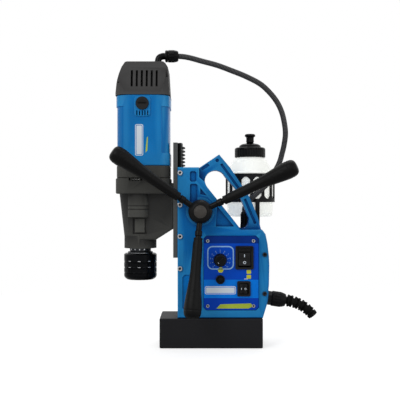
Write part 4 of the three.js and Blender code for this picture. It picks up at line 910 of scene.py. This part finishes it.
breaker = centre("breaker_body")
breaker_front = low("breaker_body").y
breaker_place = facing((breaker.x, breaker_front, breaker.z))
BREAKER_BORE = 4.9
BREAKER_RADIUS = 7.9
breaker_profile = rounded_profile([
    (BREAKER_BORE, -8), (BREAKER_BORE, -0.4), (BREAKER_BORE + 0.4, 0), (BREAKER_RADIUS - 0.7, 0),
    (BREAKER_RADIUS, -0.7), (BREAKER_RADIUS, -3.7), (6, -3.7), (6, -8)], 0.4)
turned("breaker_nut", fine(breaker_profile, 0.6), breaker_place, plastic_black, "stand", ("breaker_body",),
       96, lobes(24, [(-3.5, -0.8)], 0.35, 0.6))
push_front = low("breaker_button").y
push_place = facing((breaker.x, push_front, breaker.z))
PUSH_RADIUS = 4.4
push_profile = rounded_profile([
    (0, -10.5), (PUSH_RADIUS, -10.5), (PUSH_RADIUS, -0.7), (PUSH_RADIUS - 1, 0), (0, 0.0)], 0.5)
turned("breaker_button_cap", push_profile, push_place, plastic_black, "breaker_push",
       ("breaker_button",), 48)

# ---------------------------------------------------------------- prints on the panel
PRINT = 0.12


def print_on(name, x, z, outline, finish, holes=(), y=None, body="stand"):
    """Thin printed shape centred at x, z in mm, on the panel unless another face is given."""
    face = panel_front if y is None else y
    return plate(name, outline, facing((x * MM, face, z * MM)), PRINT, finish, body, holes)


DIAL_X = 16.3
print_on("dial_frame", DIAL_X, 157.5, rounded(46.5, 41, 9), print_pale, [rounded(42.3, 36.8, 7)])
MARKS = 11
DIAL_START = 225
DIAL_SWEEP = 270
TICK_OUT = 13.8
DIGIT_OUT = (17.4, 16.6)
for i in range(MARKS):
    angle = math.radians(DIAL_START - DIAL_SWEEP * i / (MARKS - 1))
    across = math.cos(angle) * MM
    up = math.sin(angle) * MM
    tick_at = (knob.x + TICK_OUT * across, panel_front, knob.z + TICK_OUT * up)
    tick = facing(tick_at) @ Matrix.Rotation(angle, 4, "Z")
    plate(f"dial_tick_{i}", rounded(2.2, 0.7, 0.3, 2), tick, PRINT, print_pale, "stand")
    digit_at = (knob.x + DIGIT_OUT[0] * across, panel_front, knob.z + DIGIT_OUT[1] * up)
    lettering(f"dial_digit_{i}", str(i), 3.6 * MM, facing(digit_at), print_pale, "stand")
print_on("dial_spot", DIAL_X, 136.2, arc(0, 0, 4.8, 0, 350, 35), print_yellow)
SQUARE_X = 65.4
for i, z in enumerate((133.0, 124.4)):
    print_on(f"panel_square_{i}", SQUARE_X, z, rounded(7.6, 6.6, 1), print_yellow)
BAR_AT = (16, 101)
print_on("panel_bar", *BAR_AT, rounded(54, 14, 3), print_white, [rounded(51.6, 11.6, 2)])
print_on("panel_bar_fill", *BAR_AT, rounded(49.6, 9.6, 1.4), print_white)
LIME_STRIP = [(-31, -4), (25, -4), (33, 0), (29, 5), (-24, 3.4)]
print_on("panel_strip", 40, 73.2, LIME_STRIP, print_lime)
print_on("switch_mark_bar", 60.5, 120.6, rounded(7, 1.2, 0.5), print_white)

# ---------------------------------------------------------------- marks on the keys
KEY_TILT = math.radians(7)
SLOPE = 2.2
MARK_LIFT = 7.44
MARK_SHARE = 0.52
MARK_DEPTH = 0.3
POWER_HALF = 11.4
POWER_PIVOT = Vector((57.8, -39.3, 154.5)) * MM
MAGNET_HALF = 6.8
MAGNET_PIVOT = Vector((56.8, -39.3, 103.85)) * MM


def key_face(pivot, half, sign, hinge):
    """Place on one half of a rocker key that tips about the given axis."""
    offset = sign * half * MARK_SHARE
    step = (0, -MARK_LIFT, offset) if hinge == "X" else (offset, -MARK_LIFT, 0)
    slope = math.atan2(SLOPE, half) * (sign if hinge == "X" else -sign)
    return (Matrix.Translation(pivot) @ Matrix.Rotation(-KEY_TILT, 4, hinge)
            @ Matrix.Translation(Vector(step) * MM) @ Matrix.Rotation(slope, 4, hinge) @ TO_OPERATOR)


def key_marks(key, body, pivot, half, on_side, hinge, bar, ring_outer, ring_inner):
    """A plain bar for on and a plain ring for off."""
    on_face = key_face(pivot, half, on_side, hinge)
    off_face = key_face(pivot, half, -on_side, hinge)
    plate(f"{key}_mark_on", bar, on_face, MARK_DEPTH, print_white, body)
    plate(f"{key}_mark_off", arc(0, 0, ring_outer, 0, 350, 35), off_face, MARK_DEPTH, print_white, body,
          [arc(0, 0, ring_inner, 0, 350, 35)])


key_marks("power", "power_key", POWER_PIVOT, POWER_HALF, 1, "X", rounded(1.3, 5, 0.4, 2), 2.5, 1.6)
key_marks("magnet", "magnet_key", MAGNET_PIVOT, MAGNET_HALF, -1, "Z", rounded(0.9, 3.2, 0.3, 2), 1.7, 1.0)

# ---------------------------------------------------------------- motor pieces
BRUSH_RIM = 10.9
BRUSH_SKIRT = 11.4
BRUSH_THREAD = 7.6
coin_slot = rounded(14, 1.9, 0.4, 2)
brush_profile = fine(rounded_profile([
    (0, -14), (BRUSH_THREAD, -14), (BRUSH_THREAD, -3), (BRUSH_SKIRT, -3), (BRUSH_SKIRT, -0.8),
    (BRUSH_RIM + 0.05, -0.15), (BRUSH_RIM, -1.25), (0, -1.25)], 0.3), 0.8)
for side, turn in (("front", 0), ("back", math.pi)):
    node = f"brush_cap_{side}"
    brush = centre(node)
    face = low(node).y if side == "front" else high(node).y
    place = Matrix.Translation((brush.x, face, brush.z)) @ Matrix.Rotation(turn, 4, "Z") @ TO_OPERATOR
    plate(f"{node}_face", arc(0, 0, BRUSH_RIM, 0, 355, 71), place @ Matrix.Translation((0, 0, -1.2 * MM)),
          1.2, plastic_black, "carriage", [coin_slot])
    turned(f"{node}_body", brush_profile, place, plastic_black, "carriage", (node,), 96,
           lobes(24, [(-2.8, -0.9)], 0.35, 0.6))

# Painted shade: a dark screen behind the front vents stands for the shade inside the tail cover and hides
# the fan.
SCREEN_Y = -24
SCREEN_Z = 466
screen_place = facing((centre("motor_tail_cover").x, SCREEN_Y * MM, SCREEN_Z * MM))
plate("tail_vent_shade_screen", rounded(64, 36, 6), screen_place, 1.2, plastic_black, "carriage",
      [arc(0, 0, 3, 0, 330, 11)])

FRONT_FACE_SET_BACK = 2.8
motor_front = low("motor_housing").y + FRONT_FACE_SET_BACK * MM
MOTOR_BAR_AT = (-125, 362.2)
MOTOR_STRIP = [(-2, -14), (1.2, -10), (2.2, 14), (0.4, 12), (-1.4, -6)]
print_on("motor_bar", *MOTOR_BAR_AT, rounded(14, 54.5, 3), print_white, [rounded(11.6, 52.1, 2.2)],
         motor_front, "carriage")
print_on("motor_bar_fill", *MOTOR_BAR_AT, rounded(9.4, 49.9, 1.4), print_white, (), motor_front, "carriage")
print_on("motor_strip", -112, 354, MOTOR_STRIP, print_lime, (), motor_front, "carriage")

# ---------------------------------------------------------------- floor and light
FLOOR_HALF = 6
floor_mesh = bmesh.new()
bmesh.ops.create_grid(floor_mesh, x_segments=8, y_segments=8, size=FLOOR_HALF)
floor_data = bpy.data.meshes.new("floor")
floor_mesh.to_mesh(floor_data)
floor_mesh.free()
floor = bpy.data.objects.new("floor", floor_data)
bpy.context.scene.collection.objects.link(floor)
floor.location = (0, 0, -0.0003)


def pale_floor():
    """Pale floor that keeps its shadow near the object and fades to white further out."""
    finish = bpy.data.materials.new("pale_floor")
    finish.use_nodes = True
    tree = finish.node_tree
    link = tree.links.new
    shader = tree.nodes["Principled BSDF"]
    shader.inputs["Base Color"].default_value = (0.82, 0.82, 0.82, 1)
    shader.inputs["Roughness"].default_value = 0.9
    shader.inputs["Specular IOR Level"].default_value = 0.1
    glow = tree.nodes.new("ShaderNodeEmission")
    glow.inputs["Strength"].default_value = 0.6
    near = tree.nodes.new("ShaderNodeAddShader")
    link(shader.outputs["BSDF"], near.inputs[0])
    link(glow.outputs["Emission"], near.inputs[1])
    where = tree.nodes.new("ShaderNodeTexCoord")
    distance = tree.nodes.new("ShaderNodeVectorMath")
    distance.operation = "LENGTH"
    link(where.outputs["Object"], distance.inputs[0])
    fade = tree.nodes.new("ShaderNodeMapRange")
    fade.inputs["From Min"].default_value = 0.3
    fade.inputs["From Max"].default_value = 0.9
    link(distance.outputs["Value"], fade.inputs["Value"])
    white = tree.nodes.new("ShaderNodeEmission")
    seen = tree.nodes.new("ShaderNodeMixShader")
    link(fade.outputs["Result"], seen.inputs["Fac"])
    link(near.outputs["Shader"], seen.inputs[1])
    link(white.outputs["Emission"], seen.inputs[2])
    rays = tree.nodes.new("ShaderNodeLightPath")
    chosen = tree.nodes.new("ShaderNodeMixShader")
    link(rays.outputs["Is Camera Ray"], chosen.inputs["Fac"])
    link(shader.outputs["BSDF"], chosen.inputs[1])
    link(seen.outputs["Shader"], chosen.inputs[2])
    link(chosen.outputs["Shader"], tree.nodes["Material Output"].inputs["Surface"])
    return finish


floor_data.materials.append(pale_floor())

ROOM_LIGHT = 0.4


def studio_world():
    """White to the camera, in reflections and through clear pieces; dimmer as a light."""
    world = bpy.data.worlds.new("studio")
    world.use_nodes = True
    sky = world.node_tree
    background = sky.nodes["Background"]
    background.inputs["Color"].default_value = (1, 1, 1, 1)
    rays = sky.nodes.new("ShaderNodeLightPath")
    white = rays.outputs["Is Camera Ray"]
    for ray in ("Is Glossy Ray", "Is Transmission Ray"):
        either = sky.nodes.new("ShaderNodeMath")
        either.operation = "MAXIMUM"
        sky.links.new(white, either.inputs[0])
        sky.links.new(rays.outputs[ray], either.inputs[1])
        white = either.outputs[0]
    level = sky.nodes.new("ShaderNodeMapRange")
    level.inputs["To Min"].default_value = ROOM_LIGHT
    level.inputs["To Max"].default_value = 1
    sky.links.new(white, level.inputs["Value"])
    sky.links.new(level.outputs["Result"], background.inputs["Strength"])
    return world


bpy.context.scene.world = studio_world()
LIGHTS_AIM_AT = Vector((-0.02, 0, 0.25))


def soft_light(name, at, size, watts):
    lamp = bpy.data.lights.new(name, "AREA")
    lamp.size = size
    lamp.energy = watts
    obj = bpy.data.objects.new(name, lamp)
    obj.location = at
    aim = LIGHTS_AIM_AT - Vector(at)
    obj.rotation_euler = aim.to_track_quat("-Z", "Y").to_euler()
    bpy.context.scene.collection.objects.link(obj)


soft_light("key", (-1.1, -1.5, 1.3), 0.9, 11)
soft_light("fill", (1.3, -1.3, 0.7), 1.1, 4)
soft_light("top", (0.1, 0.7, 1.7), 1.0, 5)
